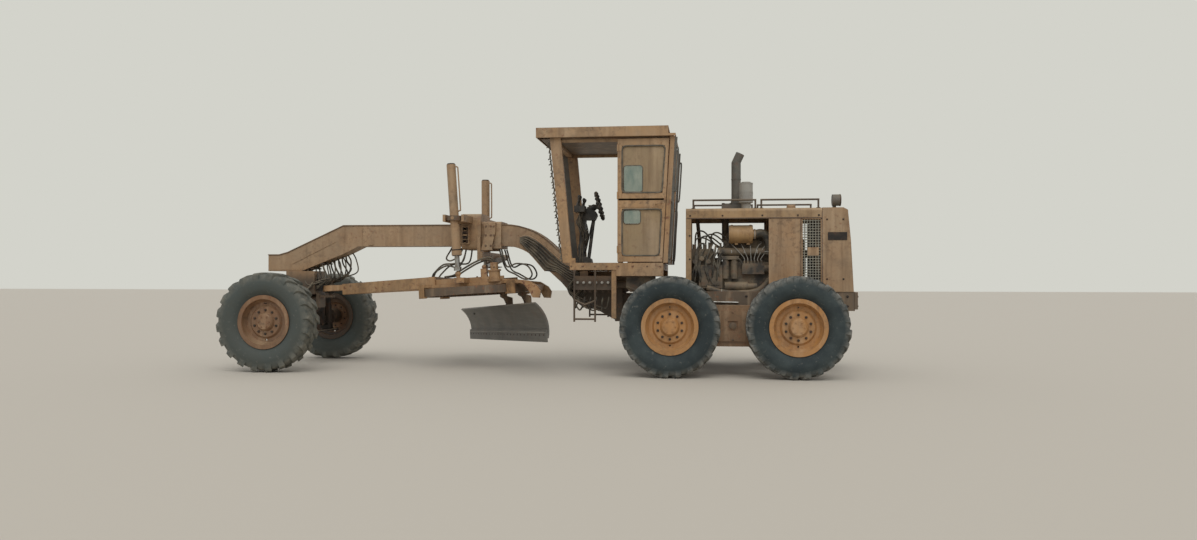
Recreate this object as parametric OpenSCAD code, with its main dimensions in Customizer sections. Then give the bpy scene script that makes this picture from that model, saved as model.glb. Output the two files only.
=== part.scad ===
// Motor grader with an articulated frame, a tandem drive at the back and a
// blade under the long front beam. Stations run rearward from the front axle,
// +Z is up, the machine faces -X and its left side is -Y.

/* [Wheels and stance] */
// Radius of the front tyres over the lugs
front_r = 640; // [600:5:680]
// Radius of the tandem tyres over the lugs
rear_r = 620; // [600:5:640]
// Width of every tyre
tyre_w = 350; // [320:5:380]
// Distance of a tyre's middle plane from the middle of the machine
half_track = 1020; // [1000:5:1060]
// Station of the middle axle behind the front axle
mid_x = 5156; // [5100:2:5250]
// Distance between the two axles of the tandem
tandem_pitch = 1524; // [1450:2:1600]
// Radius of the bead seat of every rim
bead_r = 305; // [290:1:315]
// Radius over the flanges of every rim
flange_r = 345; // [330:1:350]
// Depth of the wheel disc behind the outer flange
disc_depth = 75; // [50:1:110]
// Lugs round each tyre
lugs = 24; // [16:1:32]
// Height of a lug
lug_h = 26; // [15:1:32]

/* [Front frame] */
// Depth of the main beam
beam_h = 290; // [250:5:320]
// Width of the main beam
beam_w = 300; // [240:5:340]
// Height of the beam's top over the ground
beam_top = 1930; // [1880:5:1980]
// Radius of the gooseneck's top
neck_r = 900; // [800:10:1000]
// Angle that the gooseneck bends down
neck_deg = 42; // [38:1:46]
// Station of the articulation pin
hinge_x = 4750; // [4700:5:4800]
// Radius of the articulation pin
hinge_pin_r = 40; // [30:1:50]

/* [Cab] */
// Half the width of the cab
cab_half = 750; // [700:5:790]
// Height of the cab floor's top
floor_z = 1400; // [1390:2:1420]
// Height of the roof's underside
eave_z = 2985; // [2900:5:3050]
// Height of the roof's top
roof_z = 3110; // [3080:5:3200]
// Thickness of the doors
door_t = 40; // [30:1:50]

/* [Drawbar, circle and blade] */
// How far the drawbar rises to the rear, in degrees
bar_pitch = 3.6; // [2:0.1:4]
// How far its left side is the higher one, in degrees
bar_roll = 1.3; // [0:0.1:2]
// How far the blade is turned from straight across, in degrees
blade_deg = 29.4; // [0:0.2:40]
// Outer radius of the circle
circle_r = 765; // [740:5:780]
// Length of the blade
blade_l = 3660; // [3000:10:3700]
// Radius of the blade's hollow face
blade_face_r = 413; // [400:1:430]
// Thickness of the blade
blade_t = 22; // [16:1:26]

/* [Engine end] */
// Half the width of the hood
hood_half = 450; // [420:5:480]
// Height of the hood's top
hood_z = 2100; // [2050:5:2150]
// Height of the hood's lower edge over the engine bay
bay_z = 1970; // [1940:5:2000]
// Station of the hood's front
hood_x = 5335; // [5300:5:5350]

/* [Hidden] */

$fn = 64;
eps = 0.3;                 // running clearance of a pin, a ball or a sleeve
rear_x = mid_x + tandem_pitch;
tail_end = 7520;           // back face of the rear hitch block
centre_x = (tail_end - front_r) / 2;
centre_y = 139;            // the blade stands out more on the right than on the left
tandem_x = (mid_x + rear_x) / 2;

paint = [0.69, 0.53, 0.37];
paint_clean = [0.75, 0.5, 0.25];
rust = [0.45, 0.3, 0.2];
dark = [0.16, 0.16, 0.17];
rubber = [0.24, 0.25, 0.27];
steel = [0.33, 0.33, 0.32];
bright = [0.62, 0.62, 0.6];

sides = [-1, 1];           // left is -1, right is 1

// Everything is drawn in stations and moved once to the middle of the whole outline.
module placed() translate([-centre_x, -centre_y, 0]) children();

// A box from its low and high corners.
module box(lo, hi) translate(lo) cube(hi - lo);

// A cylinder along X, Y or Z from a to b.
module bar_x(r, a, b) translate([a, 0, 0]) rotate([0, 90, 0]) cylinder(h = b - a, r = r);
module bar_y(r, a, b) translate([0, a, 0]) rotate([-90, 0, 0]) cylinder(h = b - a, r = r);
module bar_z(r, a, b) translate([0, 0, a]) cylinder(h = b - a, r = r);

// The same piece on the left and, mirrored, on the right.
module both() { children(); mirror([0, 1, 0]) children(); }

// The left twin of a placed piece of the right side.
module left_twin() translate([0, -2 * centre_y, 0]) mirror([0, 1, 0]) children();

// Puts children at p with their +Z towards q.
module aimed(p, q) {
    v = q - p;
    translate(p) rotate([0, acos(v[2] / norm(v)), atan2(v[1], v[0])]) children();
}

// A side outline pushed out along Y from a to b.
module side_plate(a, b) translate([0, b, 0]) rotate([90, 0, 0]) linear_extrude(b - a) children();

// Points of an arc about c from angle a to b.
function arc(c, r, a, b, n = 8) = [for (i = [0:n]) c + r * [cos(a + (b - a) * i / n),
    sin(a + (b - a) * i / n)]];

// wheels
spindle_r = 70;
disc_t = 20;
rim_w = 260;
hub_in = 170;              // reach of the hub inward of the wheel's middle plane

// Half of a tyre's section: [distance from the middle plane, radius] as shares
// of the half width and of the height from the bead to the lugs' feet.
tyre_pts = [[0.57, 0], [0.61, 0.05], [0.66, 0.15], [0.9, 0.32], [1, 0.54], [0.97, 0.74], [0.86, 0.9],
    [0.72, 0.97], [0, 1]];

module tyre(r, y) {
    foot = r - lug_h;
    h = foot - bead_r;
    half = [for (p = tyre_pts) [bead_r + p[1] * h, p[0] * tyre_w / 2]];
    inner = [[bead_r + 60, 0.6 * tyre_w / 2], [bead_r, 0.5 * tyre_w / 2]];
    color(rubber) translate([0, y, 0]) rotate([-90, 0, 0]) {
        rotate_extrude() polygon(concat(
            [for (p = half) [p[0], -p[1]]],
            [for (i = [len(half) - 2:-1:0]) half[i]],
            [[bead_r, 0.5 * tyre_w / 2], [bead_r, -0.5 * tyre_w / 2]]));
        difference() {
            cylinder(h = tyre_w * 0.9, r = r, center = true);
            cylinder(h = tyre_w, r = foot - 8, center = true);
            for (i = [0:lugs - 1], s = sides)
                rotate([0, 0, (i + (s > 0 ? 0.5 : 0)) * 360 / lugs])
                    translate([foot - 20, 0, s * tyre_w * 0.25])
                        rotate([s * 20, 0, 0])
                            translate([0, -foot * PI / lugs / 2, -tyre_w * 0.26])
                                cube([80, foot * PI / lugs, tyre_w * 0.52]);
        }
    }
}

// A drop-centre rim with a dished disc, a hub and ten studs' holes. It sits
// about the middle plane, and out is +1 where the outer side is +Y.
module rim(out) {
    seat = bead_r - eps;
    w = rim_w / 2;
    disc = w - disc_depth;
    color(paint_clean) scale([1, out, 1]) rotate([-90, 0, 0]) difference() {
        union() {
            rotate_extrude() polygon([
                [flange_r, -w], [flange_r, -w + 12], [seat, -w + 26], [seat, -40], [seat - 35, -28],
                [seat - 35, 28], [seat, 40], [seat, w - 26], [flange_r, w - 12], [flange_r, w],
                [seat - 12, w], [seat - 22, w - 40], [seat - 50, 34], [seat - 50, -28], [seat - 16, -44],
                [seat - 14, -w]]);
            rotate_extrude() polygon([
                [0, disc + 40], [0, disc + 58], [90, disc + 58], [105, disc + 40], [120, disc + 12],
                [190, disc + 12], [215, disc - 14], [seat - 45, disc - 14], [seat - 45, disc - 36],
                [205, disc - 36], [180, disc - 10], [110, disc - 10], [104, -hub_in],
                [spindle_r + eps, -hub_in], [spindle_r + eps, disc + 30], [0, disc + 30]]);
        }
        for (i = [0:9]) rotate([0, 0, i * 36 + 18]) translate([152, 0, 0]) cylinder(h = 200, r = 14);
        rotate([0, 0, 90]) translate([230, 0, 0]) cylinder(h = 200, r = 12);
    }
}

wheel_sets = [              // name, station, radius
    ["front", 0, front_r], ["mid", mid_x, rear_r], ["rear", rear_x, rear_r]];

module tyre_at(i, s) placed() translate([wheel_sets[i][1], 0, wheel_sets[i][2]]) tyre(wheel_sets[i][2],
    s * half_track);
module rim_at(i, s) placed() translate([wheel_sets[i][1], s * half_track, wheel_sets[i][2]]) rim(s);

// rear frame and drive
rail_in = 360;
rail_out = 440;
rail_lo = 800;
rail_hi = 1040;
tongue_lo = 640;           // the front frame's tongue in the hitch
tongue_hi = 1010;
lug_t = 50;
hitch_hole = [tail_end - 24, 16];
cross_x = [5850, 6560];    // cross bars under the engine
cross_z = [860, 930];
steer_z = 1130;            // height of the articulation cylinders
steer_eye = [4960, 450];   // their pins on the rear frame
steer_foot = [4020, 350];  // their pins on the front frame
case_r = 253;
case_in = 630;
case_out = 800;
drive_r = 170;

module hitch_lug(lo, hi) hull() {
    translate([hinge_x, 0, lo]) cylinder(h = hi - lo, r = 120, $fn = 32);
    box([hinge_x + 180, -200, lo], [hinge_x + 190, 200, hi]);
}

module rear_frame() color(paint) placed() {
    difference() {
        union() {
            both() box([hinge_x + 180, rail_in, rail_lo], [7440, rail_out, rail_hi]);
            box([hinge_x + 180, -rail_in, tongue_lo - 52], [hinge_x + 330, rail_in, rail_hi + 30]);
            for (x = cross_x) box([x, -rail_in, cross_z[0]], [x + 80, rail_in, cross_z[1]]);
            box([7200, -rail_in, rail_lo], [7440, rail_in, rail_lo + 120]);
            hitch_lug(tongue_hi + 2, tongue_hi + 2 + lug_t);
            hitch_lug(tongue_lo - 2 - lug_t, tongue_lo - 2);
            box([7440, -150, 810], [tail_end, 150, 940]);
            box([7438, -hood_half, 820], [7476, hood_half, rail_hi - 5]);
            both() box([steer_eye[0] - 60, rail_in, rail_hi], [steer_eye[0] + 60, steer_eye[1] + 60,
                steer_z - 55]);
        }
        translate([hitch_hole[0], 0, 700]) cylinder(h = 400, r = hitch_hole[1]);
    }
    translate([hinge_x, 0, tongue_lo - 70]) cylinder(h = tongue_hi - tongue_lo + 140, r = hinge_pin_r);
    both() translate([steer_eye[0], steer_eye[1], steer_z - 60]) cylinder(h = 115, r = 22);
}

module tandem_cases() color(paint) placed() both() {
    side_plate(case_in, case_out) polygon(concat(
        arc([mid_x, rear_r], case_r, 90, 270, 18), arc([rear_x, rear_r], case_r, -90, 90, 18)));
    side_plate(case_out, case_out + 18) translate([tandem_x, rear_r]) difference() {
        square([420, 380], center = true);
        square([120, 120], center = true);
    }
    for (x = [mid_x, rear_x]) translate([x, 0, rear_r]) {
        bar_y(spindle_r, case_out, half_track + rim_w / 2 - disc_depth + 25);
        bar_y(150, case_out, half_track - hub_in - 10);
    }
}

module axle_housing() color(rust) placed() translate([tandem_x, 0, rear_r]) {
    bar_y(drive_r, -case_in, case_in);
    bar_y(235, -210, 210);
    box([-780, -250, -60], [-200, 250, 160]);
    both() box([-120, rail_in + 5, 0], [120, rail_out - 5, rail_lo - rear_r]);
}

// engine end
module engine() color(rust) placed() {
    box([5800, -260, 950], [6700, 260, 1420]);
    box([5820, -170, 1420], [6660, 170, 1700]);
    for (x = [5850, 6130, 6410]) {
        box([x, -140, 1700], [x + 230, 140, 1775]);
        box([x + 10, -128, 1770], [x + 220, 128, 1792]);
    }
    // rail along the head with its branches
    both() {
        translate([5745, -262, 1552]) bar_x(50, 0, 650);
        for (i = [0:5]) box([5845 + i * 135, -262, 1518], [5911 + i * 135, -165, 1586]);
    }
    // transmission with its pumps
    translate([5400, 0, 1250]) bar_x(230, 0, 400);
    box([5500, -330, 1080], [5800, 330, 1380]);
    box([5400, -260, 1300], [5690, 200, 1590]);
    for (i = [0:3]) translate([5440 + i * 68, -215 + 30 * (i % 2), 1590 - eps]) bar_z(24, -5,
        60 + 25 * (i % 2));
    for (i = [0:2]) translate([5450 + i * 85, 0, 1420 + 40 * (i % 2)]) bar_y(34, -325, -255);
    // injection pump with its governor, filters and starter
    box([6050, -340, 1262], [6330, -255, 1400]);
    for (i = [0:5]) translate([6080 + i * 44, -300, 1398]) bar_z(13, 0, 34);
    translate([6330 - eps, -290, 1330]) bar_x(52, 0, 90);
    box([5790, -342, 1450], [6010, -165, 1496]);
    for (x = [5840, 5952]) translate([x, -297, 0]) {
        bar_z(46, 1205, 1425);
        bar_z(38, 1424, 1451);
    }
    translate([5830, -284, 1105]) bar_x(60, 0, 290);
    translate([6110, -296, 1105]) bar_x(40, 0, 130);
    box([6420, -335, 1120], [6600, -255, 1300]);
    // down pipe of the stack and a stay of the bay
    translate([5848, 100, 0]) bar_z(46, 1690, hood_z - sheet - 1);
    aimed([5540, 190, 1330], [5470, 190, 2085]) bar_z(25, 0, 757);
    // front pulley, fan and radiator
    translate([6700, 0, 1400]) bar_x(60, 0, 110);
    translate([6720, 0, 1180]) bar_x(110, 0, 40);
    translate([6695, 0, 1180]) bar_x(50, 0, 40);
    translate([6810, 0, 1400]) bar_x(330, 0, 40);
    box([6960, -400, rail_hi], [7030, 400, 1940]);
    for (x = cross_x) box([x + 10, -200, cross_z[1]], [x + 70, 200, 960]);
}

module air_cleaner() color(paint_clean) placed() {
    translate([5885, -300, 1775]) {
        bar_x(116, 0, 300);
        bar_x(122, 24, 48);
        bar_x(122, 262, 286);
        bar_x(62, 299, 340);
    }
    for (x = [5960, 6110]) box([x, -330, 1640], [x + 40, -170, 1690]);
}

sheet = 8;
module hood() color(paint) placed() {
    // top panel, a channel with rounded shoulders
    translate([hood_x, 0, 0]) rotate([90, 0, 90]) linear_extrude(7044 - hood_x) difference() {
        hull() {
            translate([-hood_half, bay_z]) square([2 * hood_half, 10]);
            for (s = sides) translate([s * (hood_half - 40), hood_z - 40]) circle(r = 40);
        }
        hull() {
            translate([-hood_half + sheet, bay_z - 5]) square([2 * (hood_half - sheet), 10]);
            for (s = sides) translate([s * (hood_half - 40), hood_z - 40]) circle(r = 40 - sheet);
        }
    }
    // front bulkhead with its posts
    box([hood_x, -hood_half, rail_hi + 20], [hood_x + sheet, hood_half, bay_z]);
    both() box([hood_x + sheet, hood_half - 50, rail_hi], [hood_x + 70, hood_half, bay_z]);
    // hand rails
    both() for (r = [[5430, 6215], [6290, 7000]]) translate([0, 400, 0]) {
        for (x = r) translate([x, 0, hood_z - 4]) cylinder(h = 112, r = 12);
        translate([0, 0, hood_z + 108]) bar_x(12, r[0] - 12, r[1] + 12);
    }
}

module side_panels() color(paint) placed() both()
    box([6380, hood_half - 12, rail_hi], [6778, hood_half - 4, bay_z]);

module side_grilles() color(dark) placed() both() side_plate(hood_half - 16, hood_half - 8) difference() {
    translate([6781, rail_hi]) square([7040 - 6781, bay_z - rail_hi]);
    for (i = [0:6], j = [0:26]) translate([6792 + i * 34.5, rail_hi + 14 + j * 34]) square([28, 27]);
}

tail_vent = [1150, 1900];
function tail_x(z) = z > 1690 ? 7392 - (z - 1690) * 36 / 380 : 7392 + (1690 - z) * 33 / 630;

module tail_cowl() color(paint) placed() {
    out = [[7048, hood_z], [7300, hood_z], [7356, hood_z - 30], [7392, 1690], [7425, 1060],
        [7426, rail_hi + eps], [7048, rail_hi + eps]];
    difference() {
        side_plate(-hood_half, hood_half) polygon(out);
        side_plate(-hood_half + 10, hood_half - 10) polygon([[7040, rail_hi - 5], [7040, hood_z - 10],
            [7290, hood_z - 10], [7346, hood_z - 40], [7382, 1690], [7415, 1060], [7416, rail_hi - 5]]);
        box([7300, -330, tail_vent[0]], [7500, 330, tail_vent[1]]);
    }
    // slats of the rear vent
    for (z = [tail_vent[0] + 30:62:tail_vent[1] - 30])
        box([tail_x(z) - 12, -336, z], [tail_x(z) - 4, 336, z + 22]);
}

module exhaust_stack() color(dark) placed() translate([5990, 100, 0]) {
    box([-190, -90, hood_z], [110, 90, hood_z + 100]);
    translate([0, 0, hood_z + 100]) cylinder(h = 550, r = 62);
    translate([0, 0, hood_z + 650]) rotate([0, 25, 0]) translate([0, 0, -20]) cylinder(h = 150, r = 58);
}

module precleaner() color(dark) placed() translate([6110, -150, 0]) {
    bar_z(60, hood_z, hood_z + 90);
    bar_z(86, hood_z + 90, hood_z + 350);
    bar_z(60, hood_z + 350, hood_z + 362);
}

module rear_lamp() color(dark) placed() {
    box([7230, -10, hood_z], [7270, 10, hood_z + 80]);
    translate([7270, 0, hood_z + 130]) bar_x(75, -45, 60);
}

// front frame
neck_c = [2900, beam_top - neck_r];
neck_end = 3860;
axle_z = front_r + 230;    // pin on which the front axle rocks
axle_pin_r = 60;
ball = [400, 0, 1060];
ball_r = 75;
ball_pin_r = 25;

function neck_pt(r, x) = // straight tail of the gooseneck below the bend
    let (p = neck_c + r * [sin(neck_deg), cos(neck_deg)]) [x, p[1] - (x - p[0]) * tan(neck_deg)];

module main_frame() color(paint) placed() {
    difference() {
        union() {
            side_plate(-beam_w / 2, beam_w / 2) polygon(concat(
                [[-450, 1300], [-450, 1530], [-290, 1530], [-165, 1565], [637, beam_top]],
                [for (a = [0:6:neck_deg]) neck_c + neck_r * [sin(a), cos(a)]],
                [neck_pt(neck_r, neck_end), [neck_end + 80, 1300], [4620, 1300], [4620, 1060],
                 [4500, 1010], [4500, 645], [4420, 645], [4140, 800], [4010, 800], [neck_end - 60, 1010]],
                [neck_pt(neck_r - beam_h, 3680)],
                [for (a = [neck_deg:-6:0]) neck_c + (neck_r - beam_h) * [sin(a), cos(a)]],
                [[850, beam_top - beam_h], [620, 1530], [30, 1300]]));
            // bolster over the front axle and the fork of the drawbar's ball
            box([-180, -170, axle_z + 115], [230, 170, 1300]);
            for (x = [-195, 230]) box([x, -110, axle_z - 75], [x + 35, 110, axle_z + 130]);
            for (z = [ball[2] - 125, ball[2] + 95]) hull() {
                translate([ball[0], 0, z]) cylinder(h = 30, r = 48, $fn = 32);
                box([225, -70, z], [230, 70, z + 30]);
            }
            // tongue of the articulation
            hull() {
                translate([hinge_x, 0, tongue_lo]) cylinder(h = tongue_hi - tongue_lo, r = 110, $fn = 48);
                box([4400, -200, tongue_lo], [4410, 200, tongue_hi]);
            }
            box([4400, -200, tongue_lo], [4500, 200, 1100]);
            // ears of the articulation cylinders
            both() box([steer_foot[0] - 60, beam_w / 2, steer_z + 62], [steer_foot[0] + 60,
                steer_foot[1] + 55, steer_z + 92]);
            // cross bars under the cab
            for (x = [3990, 4520]) box([x, -600, 1222], [x + 100, 600, 1300]);
            // valve banks under the cab with their spools and fittings
            both() {
                box([3930, 520, 1057], [4400, 640, 1235]);
                for (i = [0:5]) translate([3970 + i * 78, 0, 1150]) {
                    bar_y(24, 635, 662);
                    translate([0, 580, 0]) bar_z(15, -125, -90);
                }
            }
        }
        translate([hinge_x, 0, 500]) cylinder(h = 700, r = hinge_pin_r + eps);
    }
    translate([ball[0], 0, ball[2] - 130]) cylinder(h = 260, r = ball_pin_r);
    both() translate([steer_foot[0], steer_foot[1], steer_z - 60]) cylinder(h = 130, r = 22);
    translate([0, 0, axle_z]) bar_x(axle_pin_r, -195, 265);
}

// lift gimbals: station, reach of the barrel over the gimbal; left, then right
gimbal_x = [2352, 2440];
barrel_up = [700, 630];
gimbal_z = 1980;
saddle = [2335, 2600, 2870];   // stations of the tall and of the low collar
fork_in = 106;             // half the gap of a gimbal's fork
fork_out = 140;
trunnion_r = 25;
link_z = 1500;             // pin of the centre shift cylinder
link_pin = [2700, 700];
link_pin_r = 20;

function gimbal(i) = [gimbal_x[i], turned(stud[i])[1], gimbal_z];

module lift_saddle() color(paint) placed() difference() {
    union() {
        // collar with round shoulders
        translate([saddle[0], 0, 0]) rotate([90, 0, 90]) linear_extrude(saddle[1] - saddle[0]) polygon(concat(
            arc([beam_w / 2 + 30, beam_top + 50], 90, 0, 90, 4),
            arc([-beam_w / 2 - 30, beam_top + 50], 90, 90, 180, 4),
            arc([-beam_w / 2 - 60, beam_top - beam_h - 10], 40, 180, 270, 2),
            arc([beam_w / 2 + 60, beam_top - beam_h - 10], 40, -90, 0, 2)));
        // low collar and its legs, wide at the top
        translate([saddle[1] - 5, 0, 0]) rotate([90, 0, 90]) linear_extrude(saddle[2] - saddle[1]) polygon(concat(
            arc([-beam_w / 2 - 20, beam_top + 5], 30, 180, 90, 3), arc([beam_w / 2 + 20, beam_top + 5],
                30, 90, 0, 3),
            [[beam_w / 2 + 50, beam_top - beam_h - 35], [-beam_w / 2 - 50, beam_top - beam_h - 35]]));
        both() side_plate(beam_w / 2 + 40, beam_w / 2 + 95) polygon([[2633, 1945], [2799, 1945], [2792, 1800],
            [2755, 1660], [2750, 1580], [2596, 1580], [2620, 1660], [2650, 1800]]);
        // lock of the link bar beside the front collar
        box([2348, -beam_w / 2 - 150, 1660], [2452, -beam_w / 2 - 90, 1900]);
        for (z = [1700, 1780, 1860]) translate([2400, 0, z]) bar_y(26, -beam_w / 2 - 172, -beam_w / 2 - 140);
        for (i = [0, 1]) {
            s = sides[i];
            g = gimbal(i);
            // arm to the gimbal's fork, open to the outside
            box([g[0] - fork_out, min(s * 120, s * 530), g[2] - 45], [g[0] + fork_out, max(s * 120,
                s * 530), g[2] + 45]);
            for (e = sides) box([g[0] + min(e * fork_in, e * fork_out), min(s * 500, g[1] + s * 60), g[2] - 45],
                [g[0] + max(e * fork_in, e * fork_out), max(s * 500, g[1] + s * 60), g[2] + 45]);
            // leg down to the link bar
            box([2560, min(s * 200, s * 290), link_z - 60], [2600, max(s * 200, s * 290), 1760]);
        }
        // link bar with its row of holes
        box([2600, -320, link_z - 60], [2640, link_pin[1] + 60, link_z + 60]);
        translate([0, link_pin[1], link_z]) bar_x(link_pin_r, 2640, link_pin[0] + 55);
    }
    box([2000, -beam_w / 2, beam_top - beam_h], [3200, beam_w / 2, beam_top]);
    for (i = [0, 1]) translate(gimbal(i)) bar_x(trunnion_r + eps, -200, 200);
    for (y = [-180:60:180]) translate([2500, y, link_z]) bar_x(14, 0, 150);
}

// lift linkage, drawbar and circle
circ = [2062, 0, -210];    // centre of the circle's underside from the ball
ring_t = 100;
ring_w = 110;
teeth = 64;                // teeth inside the circle
tooth_h = 24;
blade_back = 372;          // blade behind the circle's centre
blade_low = -857;          // cutting edge below the ball
edge_h = 150;
stud = [[2011, -655, 60], [2052, 640, 60]];   // lift balls from the drawbar's ball
stud_r = 38;
drive_at = [2440, -430];   // gearbox on the drawbar's plate
centre_stud = [2296, -400, 140];
centre_stud_r = 30;

function turned(v) =       // the drawbar's frame to the machine's
    let (a = -bar_roll, b = -bar_pitch,
         u = [v[0], v[1] * cos(a) - v[2] * sin(a), v[1] * sin(a) + v[2] * cos(a)])
    ball + [u[0] * cos(b) + u[2] * sin(b), u[1], -u[0] * sin(b) + u[2] * cos(b)];

module on_bar() translate(ball) rotate([-bar_roll, -bar_pitch, 0]) children();
module on_circle() on_bar() translate(circ) rotate([0, 0, blade_deg]) children();

module drawbar_ball() color(steel) placed() translate(ball) difference() {
    intersection() {
        sphere(r = ball_r);
        bar_z(100, -68, 68);
    }
    bar_z(ball_pin_r + eps, -100, 100);
}

module drawbar() color(paint) placed() on_bar() {
    difference() {
        union() {
            bar_z(115, -40, 40);
            box([80, -70, -38], [330, 70, 38]);
            both() translate([0, 0, -98]) linear_extrude(146)
                polygon([[190, 5], [200, 5], [1600, 386], [1600, 462], [1575, 462], [190, 70]]);
            // plate over the circle with its upstands
            box([1560, -470, -100], [2560, 470, -60]);
            box([1560, -470, -60], [1640, 470, 50]);
            both() box([1600, 400, -62], [2560, 440, 10]);
            // rear arms, bent down outside the circle
            both() side_plate(380, 440) polygon([[2500, -100], [2500, -30], [2690, -45], [2890, -75],
                [3000, -150],
                [3040, -220], [3020, -310], [2930, -300], [2880, -200], [2830, -130], [2790, -100]]);
            box([2880, -400, -200], [2940, 400, -120]);
            // shoes that hold the circle
            for (a = [40, 140, 220, 320]) translate([circ[0], circ[1], circ[2]]) rotate([0, 0, a]) {
                box([circle_r + 5, -60, -22], [circle_r + 35, 60, ring_t + 52]);
                box([circle_r - 30, -60, -22], [circle_r + 10, 60, -eps]);
                box([500, -60, ring_t + 16], [circle_r + 35, 60, ring_t + 54]);
            }
            // cross bar of the lift balls
            box([1960, -700, -60], [2100, 690, 5]);
            for (p = stud) translate(p) bar_z(26, -60, 0);
            // gearbox and motor that turn the circle, with the pinion in its teeth
            translate([drive_at[0], drive_at[1], 0]) {
                bar_z(46, circ[2] + 8, -95);
                bar_z(92, -62, -30);
                bar_z(74, -32, 78);
                bar_z(88, 76, 96);
                bar_z(52, 94, 190);
            }
            // post of the centre shift ball
            box([centre_stud[0] - 40, -440, -62], [centre_stud[0] + 40, -372, centre_stud[2] - 22]);
        }
        sphere(r = ball_r + eps);
        bar_z(64, -200, 200);
        translate([circ[0], 0, -200]) cylinder(h = 180, r = 260);
    }
    for (p = stud) translate(p) sphere(r = stud_r);
    translate(centre_stud) sphere(r = centre_stud_r);
}

rail_t = 40;
arm_y = 430;
shift_at = [390, -225];    // line of the side shift cylinder from the circle's centre
shift_r = 40;
shift_rod_r = 22;
shift_ends = [-650, 650];
shift_lug = 1300;
blade_foot = blade_low - circ[2];

// Back of the blade at height z over its cutting edge.
function blade_rear(z) = blade_back - blade_face_r + sqrt(pow(blade_face_r + blade_t, 2) - pow(z - 150, 2));

module blade_circle() color(rust) placed() on_circle() {
    difference() {
        bar_z(circle_r, 0, ring_t);
        translate([0, 0, -10]) linear_extrude(ring_t + 20) polygon([for (i = [0:teeth - 1], k = [0:3])
            (circle_r - ring_w - [0, 0, tooth_h, tooth_h][k])
            * [cos((i + [0, 0.46, 0.60, 0.86][k]) * 360 / teeth), sin((i + [0, 0.46, 0.60,
                0.86][k]) * 360 / teeth)]]);
    }
    // arms behind the blade with the slides of its rails
    for (s = sides) {
        side_plate(s * arm_y - 30, s * arm_y + 30) polygon([[470, 0], [560, 0], [560, -32], [640, -60],
            [640, -160], [570, -380],
            [500, -575], [434, -575], [434, -400], [520, -250], [550, -140], [520, -70], [470, -40]]);
        box([434, s * arm_y - 60, blade_foot + 70], [474, s * arm_y + 60, blade_foot + 390]);
        box([395, s * arm_y - 60, blade_foot + 350 + eps], [474, s * arm_y + 60, blade_foot + 375]);
        box([400, s * arm_y - 60, blade_foot + 75], [474, s * arm_y + 60, blade_foot + 100 - eps]);
    }
    for (s = sides) difference() {
        box([shift_at[0], s * 530 - 20, shift_at[1] - 65], [560, s * 530 + 20, shift_at[1] + 65]);
        translate([shift_at[0], 0, shift_at[1]]) bar_y(shift_r + eps, -600, 600);
    }
    for (s = sides) box([500, min(s * arm_y, s * 550), shift_at[1] - 65], [560, max(s * arm_y,
        s * 550), shift_at[1] + 65]);
}

module blade() color(steel) placed() on_circle() {
    translate([blade_back, 0, blade_foot]) {
        side_plate(-blade_l / 2, blade_l / 2) polygon(concat(
            arc([-blade_face_r, 150], blade_face_r, -14, 50, 10),
            arc([-blade_face_r, 150], blade_face_r + blade_t, 50, -14, 10)));
        box([-24, -blade_l / 2, 0], [-5, blade_l / 2, edge_h]);
    }
    // rails on its back
    for (r = [[blade_rear(330) - 12, 310], [blade_rear(120) - 4, 100]])
        box([r[0], -1250, blade_foot + r[1]], [434 - eps, 1250, blade_foot + r[1] + rail_t]);
    // lug of the side shift rod
    difference() {
        box([blade_rear(422) - 20, shift_lug - 25, shift_at[1] - 45], [shift_at[0] + 45,
            shift_lug + 25, shift_at[1] + 45]);
        translate([shift_at[0], 0, shift_at[1]]) bar_y(shift_rod_r + eps, shift_lug - 50, shift_lug + 50);
    }
}

module shift_barrel() color(dark) placed() on_circle() translate([shift_at[0], 0, shift_at[1]]) difference() {
    bar_y(shift_r, shift_ends[0], shift_ends[1]);
    bar_y(shift_rod_r + eps, shift_ends[0] + 30, shift_ends[1] + 10);
}

module shift_rod() color(bright) placed() on_circle() translate([shift_at[0], 0, shift_at[1]]) {
    bar_y(shift_rod_r, -80, shift_lug + 45);
    bar_y(34, shift_lug + 25 + eps, shift_lug + 45);
}

// lift cylinders
lift_r = 58;
lift_rod_r = 32;
ring_in = 72;
ring_out = 100;
lift_down = 480;

module lift_frame(i) translate(gimbal(i)) children();
function lift_len(i) = norm(turned(stud[i]) - gimbal(i));

// The lift cylinder's own frame, +Z from the gimbal towards the lift ball.
module lift_line(i) aimed(gimbal(i), turned(stud[i])) children();

module lift_gimbal(i) color(rust) placed() lift_frame(i) {
    difference() {
        bar_z(ring_out, -30, 30);
        bar_z(ring_in, -40, 40);
        bar_y(22 + eps, -120, 120);
    }
    for (e = sides) bar_x(trunnion_r, min(e * (ring_out - 6), e * fork_out), max(e * (ring_out - 6),
        e * fork_out));
}

module lift_barrel(i) color(paint) placed() difference() {
    union() {
        lift_line(i) {
            bar_z(lift_r, -barrel_up[i], lift_down - 40);
            bar_z(lift_r + 8, lift_down - 60, lift_down);
        }
        lift_frame(i) bar_y(22, -ring_out, ring_out);
    }
    lift_line(i) bar_z(lift_rod_r + eps, -barrel_up[i] + 20, lift_down + 10);
}

module lift_rod(i) color(bright) placed() lift_line(i) {
    bar_z(lift_rod_r, -barrel_up[i] + 150, lift_len(i) - stud_r - 45);
    bar_z(50, lift_len(i) - stud_r - 50, lift_len(i) - stud_r - 4);
}

// centre shift cylinder
centre_r = 45;
centre_rod_r = 26;
centre_len = 780;
function centre_from() = [link_pin[0], link_pin[1], link_z];
function centre_to() = turned(centre_stud);

module centre_line() aimed(centre_from(), centre_to()) children();

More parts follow.
